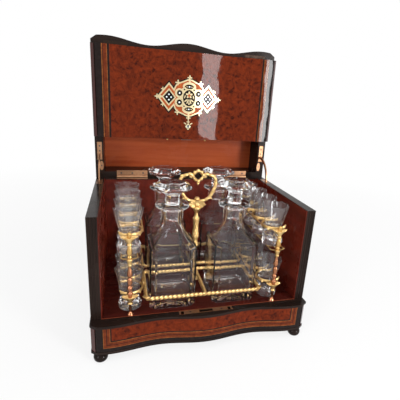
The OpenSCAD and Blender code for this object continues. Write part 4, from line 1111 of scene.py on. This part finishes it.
def seenByRays(tree):
    # 1 for rays of the camera, of mirrors and of glass, 0 for those that light the object
    path = tree.nodes.new("ShaderNodeLightPath")
    first = mathNode(tree, "MAXIMUM", path.outputs["Is Camera Ray"], path.outputs["Is Glossy Ray"])
    return mathNode(tree, "MAXIMUM", first, path.outputs["Is Transmission Ray"])


def makeStage():
    # white floor that fades into the background, and an even white room
    half = studio["floorHalf"]
    mesh = bpy.data.meshes.new("floor")
    corners = [(-half, -half, 0), (half, -half, 0), (half, half, 0), (-half, half, 0)]
    mesh.from_pydata(corners, [], [(0, 1, 2, 3)])
    floor = bpy.data.objects.new("floor", mesh)
    bpy.context.scene.collection.objects.link(floor)
    material = bpy.data.materials.new("paleFloor")
    tree = emptyTree(material)
    matt = addNode(tree, "ShaderNodeBsdfPrincipled",
                   {"Base Color": (0.9, 0.9, 0.9), "Roughness": 0.9, "Specular IOR Level": 0.1})
    pale = addNode(tree, "ShaderNodeEmission", {"Color": (1, 1, 1), "Strength": 1.0})
    place = tree.nodes.new("ShaderNodeTexCoord").outputs["Object"]
    far = addNode(tree, "ShaderNodeVectorMath", {0: place}, operation="LENGTH")
    near, away = studio["floorFade"]
    fade = addNode(tree, "ShaderNodeMapRange",
                   {"Value": far.outputs["Value"], "From Min": near, "From Max": away,
                    "To Min": studio["floorNear"], "To Max": 1.0})
    share = mathNode(tree, "MULTIPLY", seenByRays(tree), fade.outputs[0])
    both = addNode(tree, "ShaderNodeMixShader", {0: share, 1: matt.outputs[0], 2: pale.outputs[0]})
    addNode(tree, "ShaderNodeOutputMaterial", {0: both.outputs[0]})
    mesh.materials.append(material)
    world = bpy.data.worlds.new("studio")
    bpy.context.scene.world = world
    tree = emptyTree(world)
    lit, seen = (addNode(tree, "ShaderNodeBackground", {"Color": (1, 1, 1), "Strength": studio[key]}).outputs[0]
                 for key in ("lit", "seen"))
    shown = addNode(tree, "ShaderNodeMixShader", {0: seenByRays(tree), 1: lit, 2: seen})
    addNode(tree, "ShaderNodeOutputWorld", {0: shown.outputs[0]})


def areaLight(name, setup, target):
    data = bpy.data.lights.new(name, "AREA")
    data.shape = "RECTANGLE"
    data.size, data.size_y = setup["size"]
    data.energy = setup["power"]
    lamp = bpy.data.objects.new(name, data)
    lamp.location = setup["place"]
    lamp.rotation_euler = (Vector(target) - Vector(setup["place"])).to_track_quat("-Z", "Y").to_euler()
    bpy.context.scene.collection.objects.link(lamp)


makeStage()
areaLight("rightWindow", studio["rightWindow"], (0.03, 0.05, 0.33))
areaLight("leftWindow", studio["leftWindow"], (0, 0, 0.2))
areaLight("aboveWindow", studio["aboveWindow"], (0, 0, 0.2))
bpy.context.scene.view_settings.view_transform = "Standard"
print("stage: floor and light set")
